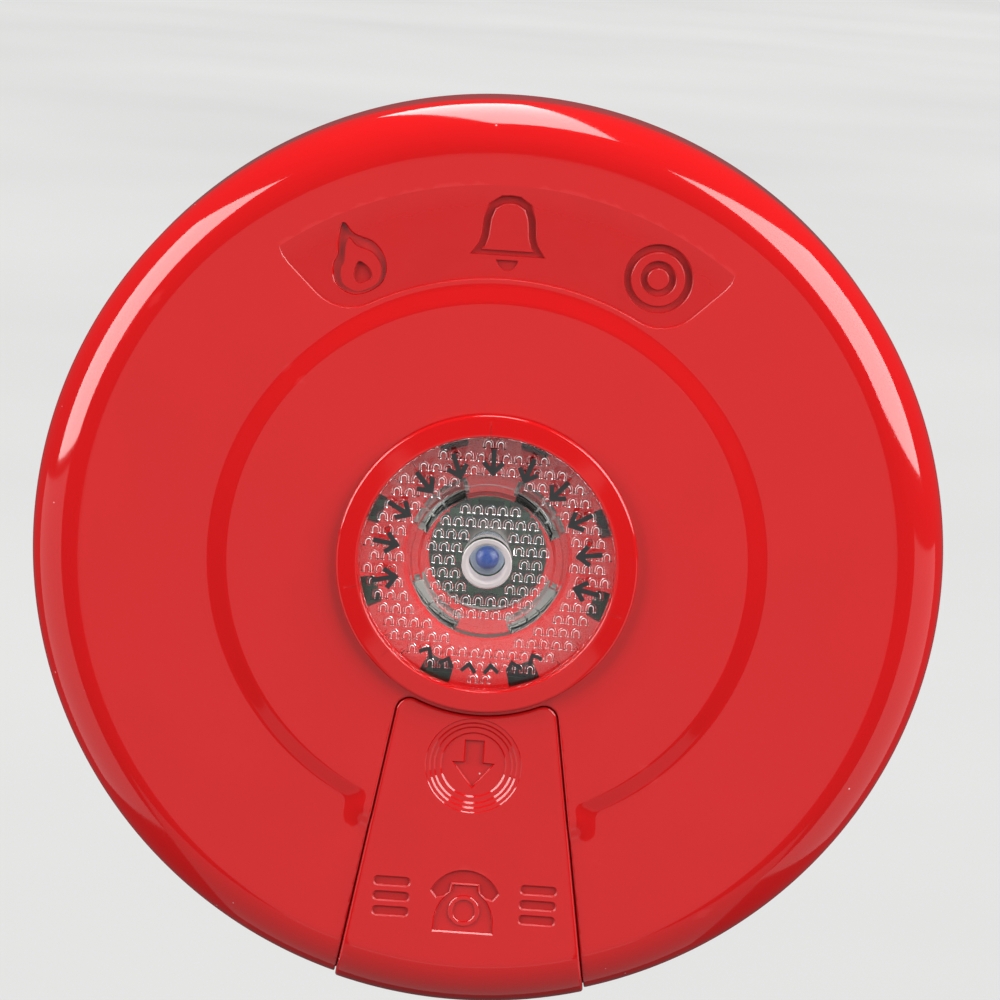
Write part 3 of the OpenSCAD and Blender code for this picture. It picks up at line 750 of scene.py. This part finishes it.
class CALLPOINT_OT_front_cover(bpy.types.Operator):
    """Moulds the front cover: shell, raised field, name panel, button well and cover channel"""
    bl_idname = "callpoint.front_cover"
    bl_label = "Front cover"

    def execute(self, context):
        settings = context.scene.call_point_cover
        colours = context.scene.call_point_colours
        lift = plateau_lift(settings)
        piece = lathe("front_cover_shell", cover_profile(settings), cover_angles(), lift)
        piece.data.materials.append(red_gloss(colours))
        self.add_backing(piece)
        self.cut_channel(piece, lift)
        self.cut_panel(piece, settings, colours)
        self.cut_well(piece)
        complete(piece, "casing", nodes=["front_cover"])
        return {"FINISHED"}

    def add_backing(self, piece):
        combine(piece, tapered("channel_floor", [(-1.6, -1.0), (-1.6, -4.0)]), "UNION")
        top = FACE_Z - WALL + 0.4
        posts = [disc("post", polar(POST_R, a), 3.2, BOARD_Z, top) for a in DIAGONALS]
        posts += [disc("post", polar(FIXING_R, a), 4, 0, top) for a in DIAGONALS]
        posts += [disc("post", (side * BOARD_SCREW_X, 0), 3, BOARD_Z, top) for side in (-1, 1)]
        posts += [disc("post", (16, -38), 1.5, 11.9, top)]
        combine(piece, together("posts", posts), "UNION")
        combine(piece, disc("pocket", (0, JACK_Y), 8.2, 10.6, 15, 96), "UNION")

    def cut_channel(self, piece, lift):
        gap, soft = 0.2, 0.2
        flare = [(-1.4, 1.2), (-gap - soft - 0.02, 0.02)] + [
            (-gap - soft * (1 - math.sin(t)), -soft * (1 - math.cos(t))) for t in steps(0.1, math.pi / 2, 4)]
        combine(piece, tapered("channel", flare + [(-gap, -0.6), (-0.05, -0.7), (-0.05, -1.8)], lift))
        slots = [prism("slot", box_outline((side * FOOT_X - 1.35, -55.9), (side * FOOT_X + 1.35, -24.3), 0.6),
                       [(12.5, 0), (17.4, 0)]) for side in (-1, 1)]
        combine(piece, together("foot_slots", slots))
        combine(piece, lathe("jack_hole", [
            (0, 9), (4.6, 9), (4.6, 12.8), (7, 12.8), (7, 15.9), (7.4, 16.3), (7.4, 20), (0, 20)], 96,
                             centre=(0, JACK_Y)))
        pilots = [disc("pilot", polar(POST_R, a), 1.25, BOARD_Z - 1, 4, 24) for a in DIAGONALS]
        pilots += [disc("pilot", polar(FIXING_R, a), 3.025, -1, 8.2, 32) for a in DIAGONALS]
        pilots += [disc("pilot", (side * BOARD_SCREW_X, 0), 1, BOARD_Z - 1, 0, 24) for side in (-1, 1)]
        combine(piece, together("pilots", pilots))

    def cut_panel(self, piece, settings, colours):
        def floor(r):
            return FACE_Z - settings.panel_deep * (settings.panel_end - r) / (settings.panel_end - 40.2)
        outline = []
        for x, y in sector_outline(PANEL_IN_R, 56, 90, 34.6, 5):
            r, turn = math.hypot(x, y), math.degrees(math.atan2(y, x)) - 90
            outline.append(polar(r, 90 + turn * (1 + (r - PANEL_IN_R) / 160)))
        recess = prism("recess", outline, [(15, 0), (17.75, 0), (17.93, 0.06), (18.02, 0.2), (18.6, 0.9)])
        tool = lathe("panel", [(38, floor(38)), (56.5, floor(56.5)), (56.5, 21), (38, 21)], 360)
        combine(tool, recess, "INTERSECT")
        tool.data.materials.clear()
        tool.data.materials.append(shaded_red_grained(colours))
        combine(piece, tool)
        for sign, turn in ((flame_sign, 1), (bell_sign, 0), (press_sign, -1)):
            a = 90 + turn * settings.sign_turn

            def place(outline, a=a):
                return turned(outline, a - 90, polar(settings.sign_r, a))
            surface = floor(settings.sign_r)
            for tool in sign(place, surface - 0.5, surface):
                # The sunk signs take the recess finish, whose darker base colour is painted shade.
                tool.data.materials.append(shaded_red_recess(colours))
                combine(piece, tool)

    def cut_well(self, piece):
        cuts = [prism("slot", sector_outline(9, 11.1, a, 26, 0.3, 16, 2), [(6, 0), (12, 0)])
                for a in DIAGONALS]
        cuts += [prism("slot", sector_outline(15.6, 18.4, a + side * 25, 7, 0.4, 8, 3), [(6, 0), (14, 0)])
                 for a in DIAGONALS for side in (-1, 1)]
        combine(piece, together("well_slots", cuts))


# Telephone cover

class CALLPOINT_OT_phone_cover(bpy.types.Operator):
    """Moulds the telephone cover: crowned shell, feet, stepped dish, arrow and telephone pictogram"""
    bl_idname = "callpoint.phone_cover"
    bl_label = "Telephone cover"

    def execute(self, context):
        settings = context.scene.call_point_hatch
        colours = context.scene.call_point_colours
        top = HATCH_PROUD
        levels = rounded_edge(settings.edge_round, 0, top) + [(0, top - 1.8), (0.2, top - 2)]
        piece = tapered("phone_cover_shell", levels)
        piece.data.materials.append(red_gloss(colours))
        feet = [prism("foot", box_outline((side * FOOT_X - 1.3, -29.6), (side * FOOT_X + 1.3, -24.6), 0.3),
                      [(13.7, 0), (16.8, 0)]) for side in (-1, 1)]
        combine(piece, together("feet", feet), "UNION")
        pilots = [disc("pilot", (side * FOOT_X, -27.1), 0.85, 12, 16.15, 24) for side in (-1, 1)]
        combine(piece, together("foot_pilots", pilots))
        self.cut_emblem(piece, settings.emblem_y)
        self.cut_telephone(piece, settings.phone_y, shaded_red_recess(colours))
        complete(piece, "sliding_cover", nodes=["phone_cover"])
        return {"FINISHED"}

    def cut_emblem(self, piece, y):
        dish = [(0, 20), (7.0, 20), (7.0, 18.6), (6.75, 18.36), (6.3, 18.34), (6.05, 18.12), (5.65, 18.1),
                (5.4, 17.88), (4.75, 17.86), (4.5, 17.64), (0, 17.64)]
        combine(piece, lathe("dish", dish, 120, centre=(0, y)))
        arrow = mirrored([(1.3, 3.4), (1.3, 0.2), (2.85, 0.2), (0, -3.3)])
        combine(piece, prism("arrow", turned(arrow, 0, (0, y)),
                             [(17.15, -0.05), (17.45, 0), (17.66, 0.19), (18.2, 0.7)]))

    def cut_telephone(self, piece, y, dull):
        # dull is the sunk-mark finish; its darker base colour is painted shade in the recesses.
        floor = HATCH_Z - 0.38
        levels = [(floor, 0), (HATCH_Z - 0.2, 0.02), (HATCH_Z, 0.22), (HATCH_Z + 0.5, 0.6)]
        handset = arc((0, -0.874), 5.224, 24.6, 155.4, 24)
        handset += [(-4.0, 0.35), (-3.0, 0.6), (-2.25, 1.2), (-2.05, 2.6), (2.05, 2.6), (2.25, 1.2),
                    (3.0, 0.6), (4.0, 0.35)]
        base = mirrored([(1.65, 2.15), (1.8, 1.35), (2.5, 0.6), (3.2, -0.2), (3.75, -1.3), (4.1, -2.6),
                         (4.2, -4.55)])
        handset = prism("handset", turned(handset, 0, (0, y)), levels)
        handset.data.materials.append(dull)
        combine(piece, handset)
        telephone = prism("telephone", turned(base, 0, (0, y)), levels)
        dial = lathe("dial", [(1.6, 17), (2.25, 17), (2.25, 18.35), (2.15, 18.42), (1.7, 18.42),
                              (1.6, 18.35)], 48,
                     centre=(0, y - 1.5))
        combine(telephone, dial)
        telephone.data.materials.append(dull)
        combine(piece, telephone)
        for side in (-1, 1):
            bars = [prism("bar", box_outline((side * 10.5 - 2.5, y + b - 0.55),
                                             (side * 10.5 + 2.5, y + b + 0.55), 0.5),
                          levels) for b in (-2.2, 0, 2.2)]
            bars = together("bars", bars)
            bars.data.materials.append(dull)
            combine(piece, bars)


# Button

SKIRT_IN_R = 9.3
SKIRT_OUT_R = 10.8
BAND_Z = PLATE_UNDER_Z - 2.6


class CALLPOINT_OT_bezel(bpy.types.Operator):
    """Turns the raised ring with its sloping top and the neck inside the well"""
    bl_idname = "callpoint.bezel"
    bl_label = "Raised ring"

    def execute(self, context):
        colours = context.scene.call_point_colours
        inner, lip, edge, slope = 18.2, 0.2, 0.45, 5
        foot = WELL_FLOOR_Z + 0.05
        drop = (BEZEL_R - edge - lip - inner) * math.tan(math.radians(slope))
        profile = [(inner, LIP_Z)] + arc((inner + lip, BEZEL_Z - lip), lip, 180, 90 - slope, 7)
        (r0, z0), rest = profile[-1], arc((BEZEL_R - edge, BEZEL_Z - edge - drop), edge, 90 - slope, 0, 10)
        profile += [(r0 + (rest[0][0] - r0) * t, z0 + (rest[0][1] - z0) * t)
                    for t in (0.1, 0.3, 0.5, 0.7, 0.9)]
        profile += rest
        profile += [(BEZEL_R, PLATEAU_Z + 0.15), (BEZEL_R - 0.15, PLATEAU_Z), (20.35, PLATEAU_Z),
                    (20.35, foot), (19.5, foot), (19.5, LIP_Z)]
        piece = lathe("bezel_ring", profile, 360)
        piece.data.materials.append(finish("glossy red ring", linear(colours.ring_red), rough=(0.05, 0.08),
                                           ior=1.5, mottle=0.03, mottle_size=15, grain=4, grain_depth=0.004,
                                           wear=0.1))
        keys = [prism("key", turned(box_outline((18.75, -1.2), (19.6, 1.2)), a),
                      [(foot, 0), (LIP_Z + 0.05, 0)])
                for a in DIAGONALS]
        combine(piece, together("keys", keys), "UNION")
        scores = [prism("score", turned(box_outline((18.0, -0.04), (22, 0.04)), a),
                        [(BEZEL_Z - 0.16, 0), (BEZEL_Z + 1, 0)])
                  for a in (-18, -44, -135, -167, 92)]
        combine(piece, together("scores", scores))
        complete(piece, "casing", nodes=["button_bezel"])
        return {"FINISHED"}


def clear_plastic(name, haze=(0.015, 0.05), tint=(0.93, 0.95, 0.95), through=1.0):
    """Clear polycarbonate with a faint haze and very fine ripples."""
    shader = Shader(name)
    surface = shader.surface
    surface.inputs["Transmission Weight"].default_value = through
    surface.inputs["IOR"].default_value = 1.5
    film = shader.noise(6, 4)
    clouded = shader.mix(film, "Fac", [c * 0.98 for c in tint], tint)
    shader.join(clouded, 2, surface, "Base Color")
    shader.tree.links.new(shader.between(film, "Fac", *haze).outputs["Result"], surface.inputs["Roughness"])
    shader.bump(shader.noise(3, 2), "Fac", 0.004)
    return shader.material


class CALLPOINT_OT_press_plate(bpy.types.Operator):
    """Moulds the clear press plate with its prism studs and skirt, and prints its marks"""
    bl_idname = "callpoint.press_plate"
    bl_label = "Press plate"

    def execute(self, context):
        settings = context.scene.call_point_button
        under, flange = PLATE_UNDER_Z, PLATE_Z - 0.8
        frosted = clear_plastic("frosted polycarbonate", (0.35, 0.5), (0.93, 0.92, 0.91), 0.5)
        profile = [(3.6, under), (FLANGE_R, under), (FLANGE_R, flange), (18.05, flange),
                   (18.05, PLATE_Z - 0.3), (17.96, PLATE_Z - 0.1), (17.75, PLATE_Z), (3.6, PLATE_Z)]
        piece = lathe("press_plate_body", profile, 240)
        piece.data.materials.append(clear_plastic("clear polycarbonate"))
        skirt = lathe("skirt", [(SKIRT_IN_R + 0.35, BAND_Z), (SKIRT_OUT_R - 0.35, BAND_Z),
                                (SKIRT_OUT_R, under + 0.1), (SKIRT_IN_R, under + 0.1)], 144)
        legs = [prism("leg", sector_outline(SKIRT_IN_R, SKIRT_OUT_R, a, 24, 0.25, 16, 2),
                      [(4, -0.1), (4.2, 0), (under + 0.1, 0)]) for a in DIAGONALS]
        combine(skirt, together("legs", legs), "UNION")
        skirt.data.materials.append(frosted)
        combine(piece, skirt, "UNION")
        combine(piece, self.studs(settings, under), "UNION")
        notches = [prism("notch", turned(box_outline((18.45, -1.5), (20, 1.5)), a), [(15, 0), (20, 0)])
                   for a in DIAGONALS]
        notches += [prism("groove", turned(box_outline((16.9, side * 1.7 - 0.12), (17.8, side * 1.7 + 0.12)),
                                           a),
                          [(PLATE_Z - 0.5, -0.1), (PLATE_Z + 1, 0.1)]) for a in DIAGONALS for side in (-1, 1)]
        combine(piece, together("notches", notches))
        complete(piece, "press_button", nodes=["press_plate"])
        piece.visible_shadow = False
        boss = lathe("plate_boss", [(2.62, 14), (3.45, 14), (3.55, 14.1), (3.55, PLATE_Z - 0.15),
                                    (3.4, PLATE_Z), (2.95, PLATE_Z), (2.62, PLATE_Z - 0.5)], 96)
        milky = clear_plastic("milky polycarbonate", (0.3, 0.45), (0.5, 0.46, 0.46), 0.55)
        complete(boss, "press_button", milky)
        boss.visible_shadow = False
        self.print_marks()
        return {"FINISHED"}

    def studs(self, settings, under):
        """Arched ridges in staggered rows, left out over the skirt and the lamp."""
        half, end, stroke = settings.stud_w / 2, settings.stud_l / 2, 0.5
        inside = half - stroke
        ridge = arc((0, end - half), half, 0, 180, 10) + [(-half, -end), (-inside, -end)]
        ridge += arc((0, end - half), inside, 180, 0, 8) + [(inside, -end), (half, -end)]
        levels = [(0.15, 0), (-0.05, 0), (-0.7 * settings.stud_h, -0.06), (-settings.stud_h, -0.13)]
        loops = [(under + dz, grown(ridge, growth)) for dz, growth in levels]
        points = []
        faces = []
        n = len(ridge)
        rows = int(17 / settings.stud_pitch)
        for j in range(-rows, rows + 1):
            for i in range(-10, 11):
                x, y = (i + 0.5 * (j % 2)) * settings.stud_pitch * 0.95, j * settings.stud_pitch
                r = math.hypot(x, y)
                if not (4.5 < r < 8.3 or 12 < r < 16.8):
                    continue
                start = len(points)
                for z, outline in loops:
                    points += [(x + px, y + py, z) for px, py in outline]
                rings = [list(range(start + k * n, start + (k + 1) * n)) for k in range(len(loops))]
                faces += ring_faces(rings, closed=False) + [tuple(rings[0]), tuple(rings[-1])]
        return make("studs", points, faces)

    def print_marks(self):
        """Black print on the plate: arrows pointing inwards above, chevrons below."""
        low, high = PLATE_Z - 0.02, PLATE_Z + 0.04
        arrow = [(0, -1.9), (1.65, -0.15), (1.15, 0.35), (0.36, -0.5), (0.36, 2.0), (-0.36, 2.0),
                 (-0.36, -0.5), (-1.15, 0.35), (-1.65, -0.15)]
        marks = [prism("mark", turned(arrow, a - 90, polar(14.4, a)), [(low, 0), (high, 0)])
                 for a in steps(-12, 192, 10)]
        chevron = [(0, -1.0), (1.2, 0.35), (0.8, 0.7), (0, -0.2), (-0.8, 0.7), (-1.2, 0.35)]
        marks += [prism("mark", turned(chevron, a - 90, polar(15.2, a)), [(low, 0), (high, 0)])
                  for a in steps(240, 300, 5)]
        piece = together("plate_marks", marks)
        ink = finish("black printing ink", (0.012, 0.012, 0.013), rough=(0.45, 0.6), mottle=0.3,
                     mottle_size=1.2, grain=0.1, grain_depth=0.004)
        complete(piece, "press_button", ink)


def domed(r, low, high, crown):
    """Section of a pin whose crown is half an ellipse."""
    crowned = [(r * math.cos(t), high - crown + crown * math.sin(t)) for t in steps(0, 1.47, 12)]
    return [(0, low), (r, low)] + crowned + [(0, high)]


class CALLPOINT_OT_lamp(bpy.types.Operator):
    """Casts the response lamp: milky lens, inner cup, core and leads"""
    bl_idname = "callpoint.lamp"
    bl_label = "Response lamp"

    def execute(self, context):
        colours = context.scene.call_point_colours
        blue = linear(colours.lamp_blue)
        base = LAMP_Z - 8.6
        profile = [(0, base), (2.9, base), (2.9, base + 0.85), (2.75, base + 1), (2.5, base + 1),
                   (2.5, LAMP_Z - 2.5)]
        profile += arc((0, LAMP_Z - 2.5), 2.5, 0, 84, 14)[1:] + [(0, LAMP_Z)]
        milky = clear_plastic("milky lamp epoxy", (0.12, 0.22), (0.5, 0.55, 0.62), 0.95)
        lens = complete(lathe("lamp_lens", profile, 72), "casing", milky, nodes=["led"])
        lens.visible_shadow = False
        for name, profile, tint in (
            ("lamp_cup", domed(1.9, base + 1.5, LAMP_Z - 2.6, 1.5), [0.2, 0.25, 0.3]),
            ("lamp_core", domed(1.15, LAMP_Z - 2.55, LAMP_Z - 1.6, 0.8), blue),
        ):
            shade = finish(name.replace("_", " ") + " blue", tint, rough=(0.25, 0.4), mottle=0.15,
                           mottle_size=1, grain=0.3, grain_depth=0.01)
            complete(lathe(name, profile, 48), "casing", shade)
        leads = [prism("lead", box_outline((side * 1.27 - 0.25, -0.25), (side * 1.27 + 0.25, 0.25), 0.05, 1),
                       [(-10.6, 0), (base - 0.02, 0)]) for side in (-1, 1)]
        tin = finish("tinned leads", (0.6, 0.6, 0.58), rough=(0.2, 0.35), metallic=1, grain=0.3,
                     grain_depth=0.006)
        complete(together("lamp_leads", leads), "casing", tin)
        return {"FINISHED"}


class CALLPOINT_OT_spring(bpy.types.Operator):
    """Winds the return spring, whose end turns lie flat"""
    bl_idname = "callpoint.spring"
    bl_label = "Return spring"

    def execute(self, context):
        turns, per_turn, sides = 5, 48, 14
        r, wire = 11.1, 0.45
        low, high = BOARD_Z + wire + 0.05, 3.4 - wire - 0.05
        loops = []
        for i in range(turns * per_turn + 1):
            t = i / per_turn
            rise = low + (high - low) * min(max(t - 0.75, 0) / (turns - 1.5), 1)
            cx, cy = polar(1, 360 * t)
            loops.append([((r + wire * c) * cx, (r + wire * c) * cy, rise + wire * s)
                          for c, s in (polar(1, 360 * k / sides) for k in range(sides))])
        piece = loft("spring_coil", loops)
        wire_steel = finish("spring steel wire", (0.52, 0.52, 0.5), rough=(0.18, 0.3), metallic=1,
                            mottle=0.12, mottle_size=2, grain=0.12, grain_depth=0.004)
        complete(piece, "casing", wire_steel, nodes=["return_spring"])
        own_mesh(piece)
        return {"FINISHED"}


# Rear housing

class CALLPOINT_OT_back_housing(bpy.types.Operator):
    """Moulds the rear housing: fluted cup, screw posts, terminal window and sunk fields"""
    bl_idname = "callpoint.back_housing"
    bl_label = "Rear housing"

    def execute(self, context):
        r, floor_z, soft = HOUSING_R, BACK_Z + 2, 1.6
        profile = [(0, BACK_Z)] + arc((r - soft, BACK_Z + soft), soft, -90, 0, 8)
        profile += [(r, -0.3), (r - 0.3, 0), (r - 1, 0), (r - 1, 1.6), (r - 1.4, 2), (r - 2.7, 2),
                    (r - 3, 1.7)]
        profile += arc((r - 4.2, floor_z + 1.2), 1.2, 0, -90, 5) + [(0, floor_z)]
        piece = lathe("back_housing_shell", profile, 240)
        posts = [lathe("post", [(0, floor_z - 0.5), (4.4, floor_z - 0.5), (4.4, floor_z),
                                (3.7, floor_z + 1.2), (3.6, -10.6), (3.6, -9.65), (0, -9.65)], 40,
                       centre=polar(POST_R, a))
                 for a in DIAGONALS]
        combine(piece, together("posts", posts), "UNION")
        ribs = [prism("rib", turned(box_outline((36.5, -0.7), (r - 2.5, 0.7)), a),
                      [(floor_z - 0.5, 0), (floor_z + 5, 0), (floor_z + 5.3, -0.25)])
                for a in range(0, 360, 30)]
        combine(piece, together("ribs", ribs), "UNION")
        black = finish("black moulded nylon", (0.02, 0.02, 0.022), rough=(0.34, 0.5), mottle=0.15, grain=0.35,
                       grain_depth=0.02, wear=0.3)
        piece.data.materials.append(black)
        holes = [lathe("hole", [(0, BACK_Z - 1), (3.3, BACK_Z - 1), (3.05, BACK_Z + 0.3), (3, BACK_Z + 2.2),
                                (1.7, BACK_Z + 2.2), (1.7, -9), (0, -9)], 48, centre=polar(POST_R, a))
                 for a in DIAGONALS]
        combine(piece, together("holes", holes))
        window = box_outline((-20.5, 7), (20.5, 23), 1.2)
        combine(piece, prism("window", window, [(BACK_Z - 0.2, 0.7), (BACK_Z + 0.5, 0), (floor_z + 1, 0)]))
        draft = [(BACK_Z - 0.2, 0.25), (BACK_Z + 0.5, 0), (BACK_Z + 0.6, -0.1)]
        fields = [prism("field", sector_outline(14, 33, a, 19, 1.6, 16, 4), draft) for a in (210, 270, 330)]
        fields += [prism("field", sector_outline(28.5, 33, 90, 33, 1.6, 24, 4), draft)]
        fields += [prism("field", circle((0, 0), 9, 64), draft)]
        combine(piece, together("fields", fields))
        flutes = [prism("flute", circle(polar(r + 0.55, a + 3), 0.9, 14), [(BACK_Z + 4, 0), (-4, 0)])
                  for a in range(0, 360, 6)]
        combine(piece, together("flutes", flutes))
        complete(piece, "casing", nodes=["back_housing"])
        return {"FINISHED"}


# Nodes that keep their own shape

def board_material(colours):
    """Solder mask over copper traces, with a faint weave."""
    shader = Shader("solder mask")
    green = linear(colours.board_green)
    mapping = shader.add("ShaderNodeMapping")
    mapping.inputs["Rotation"].default_value = (math.radians(90), 0, 0)
    shader.join(shader.place, "Object", mapping, "Vector")
    traces = shader.add("ShaderNodeTexBrick", Scale=120.0)
    traces.inputs["Color1"].default_value = (*green, 1)
    traces.inputs["Color2"].default_value = (*[c * 0.8 for c in green], 1)
    traces.inputs["Mortar"].default_value = (*[min(c * 2.2 + 0.02, 1) for c in green], 1)
    traces.inputs["Mortar Size"].default_value = 0.05
    shader.join(mapping, "Vector", traces, "Vector")
    shader.join(traces, "Color", shader.surface, "Base Color")
    shader.surface.inputs["Roughness"].default_value = 0.35
    shader.bump(traces, "Fac", 0.04)
    return shader.material


def plain_finishes(colours):
    """Materials of the nodes that keep their shape, by material slot."""
    return {
        "white_plastic": finish("white nylon", (0.74, 0.73, 0.68), rough=(0.35, 0.5), mottle=0.04,
                                grain=0.25),
        "board_green": board_material(colours),
        "black_plastic": finish("black moulded plastic", (0.018, 0.018, 0.02), rough=(0.32, 0.48), mottle=0.2,
                                grain=0.3, grain_depth=0.02),
        "grey_plastic": finish("grey glass-filled nylon", (0.09, 0.095, 0.1), rough=(0.4, 0.55), mottle=0.15,
                               grain=0.2, grain_depth=0.02),
        "steel": finish("zinc-plated steel", (0.6, 0.6, 0.57), rough=(0.22, 0.38), metallic=1, mottle=0.1,
                        mottle_size=3, grain=0.15, grain_depth=0.006),
        "nickel": finish("nickel plate", (0.68, 0.66, 0.62), rough=(0.1, 0.2), metallic=1, mottle=0.05,
                         mottle_size=4, grain=0.12, grain_depth=0.004),
        "brass": finish("turned brass", (0.72, 0.5, 0.2), rough=(0.18, 0.3), metallic=1, mottle=0.1,
                        mottle_size=3, grain=0.15, grain_depth=0.006),
        "black_rubber": finish("soft black rubber", (0.025, 0.025, 0.025), rough=(0.6, 0.8), mottle=0.2,
                               grain=0.3, grain_depth=0.02),
        "resistor_coat": finish("resistor lacquer", (0.55, 0.4, 0.22), rough=(0.2, 0.35), mottle=0.1,
                                mottle_size=2, grain=0.4, grain_depth=0.01),
        "capacitor_sleeve": finish("capacitor sleeve", (0.02, 0.03, 0.09), rough=(0.2, 0.35), mottle=0.15,
                                   mottle_size=3, grain=0.4, grain_depth=0.008),
    }


class CALLPOINT_OT_fittings(bpy.types.Operator):
    """Gives each node that keeps its own shape its finish"""
    bl_idname = "callpoint.fittings"
    bl_label = "Fittings"

    def execute(self, context):
        finishes = plain_finishes(context.scene.call_point_colours)
        for name, node in frame["nodes"].items():
            if not node.hide_render:
                node.data.materials.clear()
                node.data.materials.append(finishes[SLOTS[name]])
        return {"FINISHED"}


# Stage

# Direction from the object, width and height in metres, and power in watts, each at one metre
SOFTBOXES = {
    "right_softbox": ((0.750, -0.487, 0.447), (0.9, 0.73), 18.6),
    "left_softbox": ((-0.825, -0.439, 0.356), (0.68, 0.75), 14.5),
    "top_strip": ((-0.03, 0.122, 0.992), (0.37, 1.2), 13.2),
    "front_card": ((0, -0.96, -0.28), (0.35, 0.58), 0.36),
    "low_card": ((0, -0.34, -0.94), (1.2, 1.68), 2.5),
    "right_low_card": ((0.89, -0.2, -0.44), (1.2, 0.8), 2.6),
    "left_low_card": ((-0.89, -0.2, -0.41), (1.2, 0.8), 2.6),
}


def linked_lights(name, obj, state):
    """A collection that makes lights take in, or leave out, one object."""
    group = bpy.data.collections.new(name)
    group.objects.link(obj)
    group.collection_objects[0].light_linking.link_state = state
    return group


def place_light(name, light, direction, receivers):
    obj = bpy.data.objects.new(name, light)
    obj.location = Vector(direction).normalized()
    obj.rotation_euler = obj.location.to_track_quat("Z", "Y").to_euler()
    obj.visible_camera = False
    obj.light_linking.receiver_collection = receivers
    bpy.context.scene.collection.objects.link(obj)


class CALLPOINT_OT_stage(bpy.types.Operator):
    """Sets up the camera, the soft lights and the pale floor"""
    bl_idname = "callpoint.stage"
    bl_label = "Stage"

    def execute(self, context):
        settings = context.scene.call_point_stage
        view = Vector((0, -math.cos(settings.elevation), math.sin(settings.elevation)))
        self.camera(settings, view)
        floor = self.floor()
        off_floor = linked_lights("all_but_the_floor", floor, "EXCLUDE")
        for name, (direction, size, power) in SOFTBOXES.items():
            light = bpy.data.lights.new(name, "AREA")
            light.shape = "RECTANGLE"
            light.size, light.size_y = size
            light.energy = power
            place_light(name, light, direction, off_floor)
        wash = bpy.data.lights.new("floor_wash", "SUN")
        wash.energy = 3.2
        wash.angle = math.radians(60)
        place_light("floor_wash", wash, (0.1, -0.3, 1), linked_lights("the_floor", floor, "INCLUDE"))
        self.world(context)
        return {"FINISHED"}

    def camera(self, settings, view):
        data = bpy.data.cameras.new("camera")
        data.lens = settings.lens
        data.sensor_width = 36
        data.clip_start = 0.01
        camera = bpy.data.objects.new("camera", data)
        aim = Vector((0.00125, -0.0192, 0.00927))
        camera.location = aim + view * settings.distance
        look = (-view).to_track_quat("-Z", "Y").to_matrix().to_4x4()
        roll = Matrix.Rotation(settings.roll, 4, "Z")
        camera.matrix_world = Matrix.Translation(camera.location) @ look @ roll
        bpy.context.scene.collection.objects.link(camera)
        bpy.context.scene.camera = camera

    def floor(self):
        mesh = bpy.data.meshes.new("floor")
        half, z = 40.0, -0.6
        mesh.from_pydata([(-half, -half, z), (half, -half, z), (half, half, z), (-half, half, z)], [],
                         [(0, 1, 2, 3)])
        mesh.materials.append(finish("pale studio floor", (0.8, 0.8, 0.79), rough=(0.5, 0.7), mottle=0.005,
                                     mottle_size=4000, grain=40, grain_depth=0.002))
        obj = bpy.data.objects.new("floor", mesh)
        bpy.context.scene.collection.objects.link(obj)
        obj.visible_glossy = False
        obj.visible_diffuse = False
        return obj

    def world(self, context):
        """A dim room, which looks pale where the camera sees it directly."""
        world = bpy.data.worlds.new("studio")
        world.use_nodes = True
        nodes = world.node_tree.nodes
        background = nodes["Background"]
        background.inputs["Color"].default_value = (0.95, 0.97, 1, 1)
        seen = nodes.new("ShaderNodeLightPath")
        strength = nodes.new("ShaderNodeMapRange")
        strength.inputs["To Min"].default_value = 0.1
        strength.inputs["To Max"].default_value = 0.6
        world.node_tree.links.new(seen.outputs["Is Camera Ray"], strength.inputs["Value"])
        world.node_tree.links.new(strength.outputs["Result"], background.inputs["Strength"])
        context.scene.world = world
        context.scene.view_settings.view_transform = "Standard"


class CALLPOINT_PT_sidebar(bpy.types.Panel):
    """Lists the pieces and their settings"""
    bl_idname = "CALLPOINT_PT_sidebar"
    bl_label = "Call Point"
    bl_space_type = "VIEW_3D"
    bl_region_type = "UI"
    bl_category = "Call Point"

    def draw(self, context):
        for operator in OPERATORS:
            self.layout.operator(operator.bl_idname)
        for name in SETTINGS:
            box = self.layout.box()
            group = getattr(context.scene, name)
            for key in group.__annotations__:
                box.prop(group, key)


SETTINGS = {
    "call_point_cover": CoverSettings,
    "call_point_hatch": HatchSettings,
    "call_point_button": ButtonSettings,
    "call_point_colours": ColourSettings,
    "call_point_stage": StageSettings,
}
OPERATORS = (
    CALLPOINT_OT_stage,
    CALLPOINT_OT_front_cover,
    CALLPOINT_OT_phone_cover,
    CALLPOINT_OT_bezel,
    CALLPOINT_OT_press_plate,
    CALLPOINT_OT_lamp,
    CALLPOINT_OT_spring,
    CALLPOINT_OT_back_housing,
    CALLPOINT_OT_fittings,
)


def register():
    for group in (*SETTINGS.values(), *OPERATORS, CALLPOINT_PT_sidebar):
        bpy.utils.register_class(group)
    for name, group in SETTINGS.items():
        setattr(bpy.types.Scene, name, bpy.props.PointerProperty(type=group))


def unregister():
    for name in SETTINGS:
        delattr(bpy.types.Scene, name)
    for group in (CALLPOINT_PT_sidebar, *OPERATORS, *SETTINGS.values()):
        bpy.utils.unregister_class(group)


def main():
    register()
    for operator in OPERATORS:
        module, name = operator.bl_idname.split(".")
        if getattr(getattr(bpy.ops, module), name)() != {"FINISHED"}:
            raise RuntimeError(f"{operator.bl_label} wasn't finished")


if __name__ == "__main__":
    main()
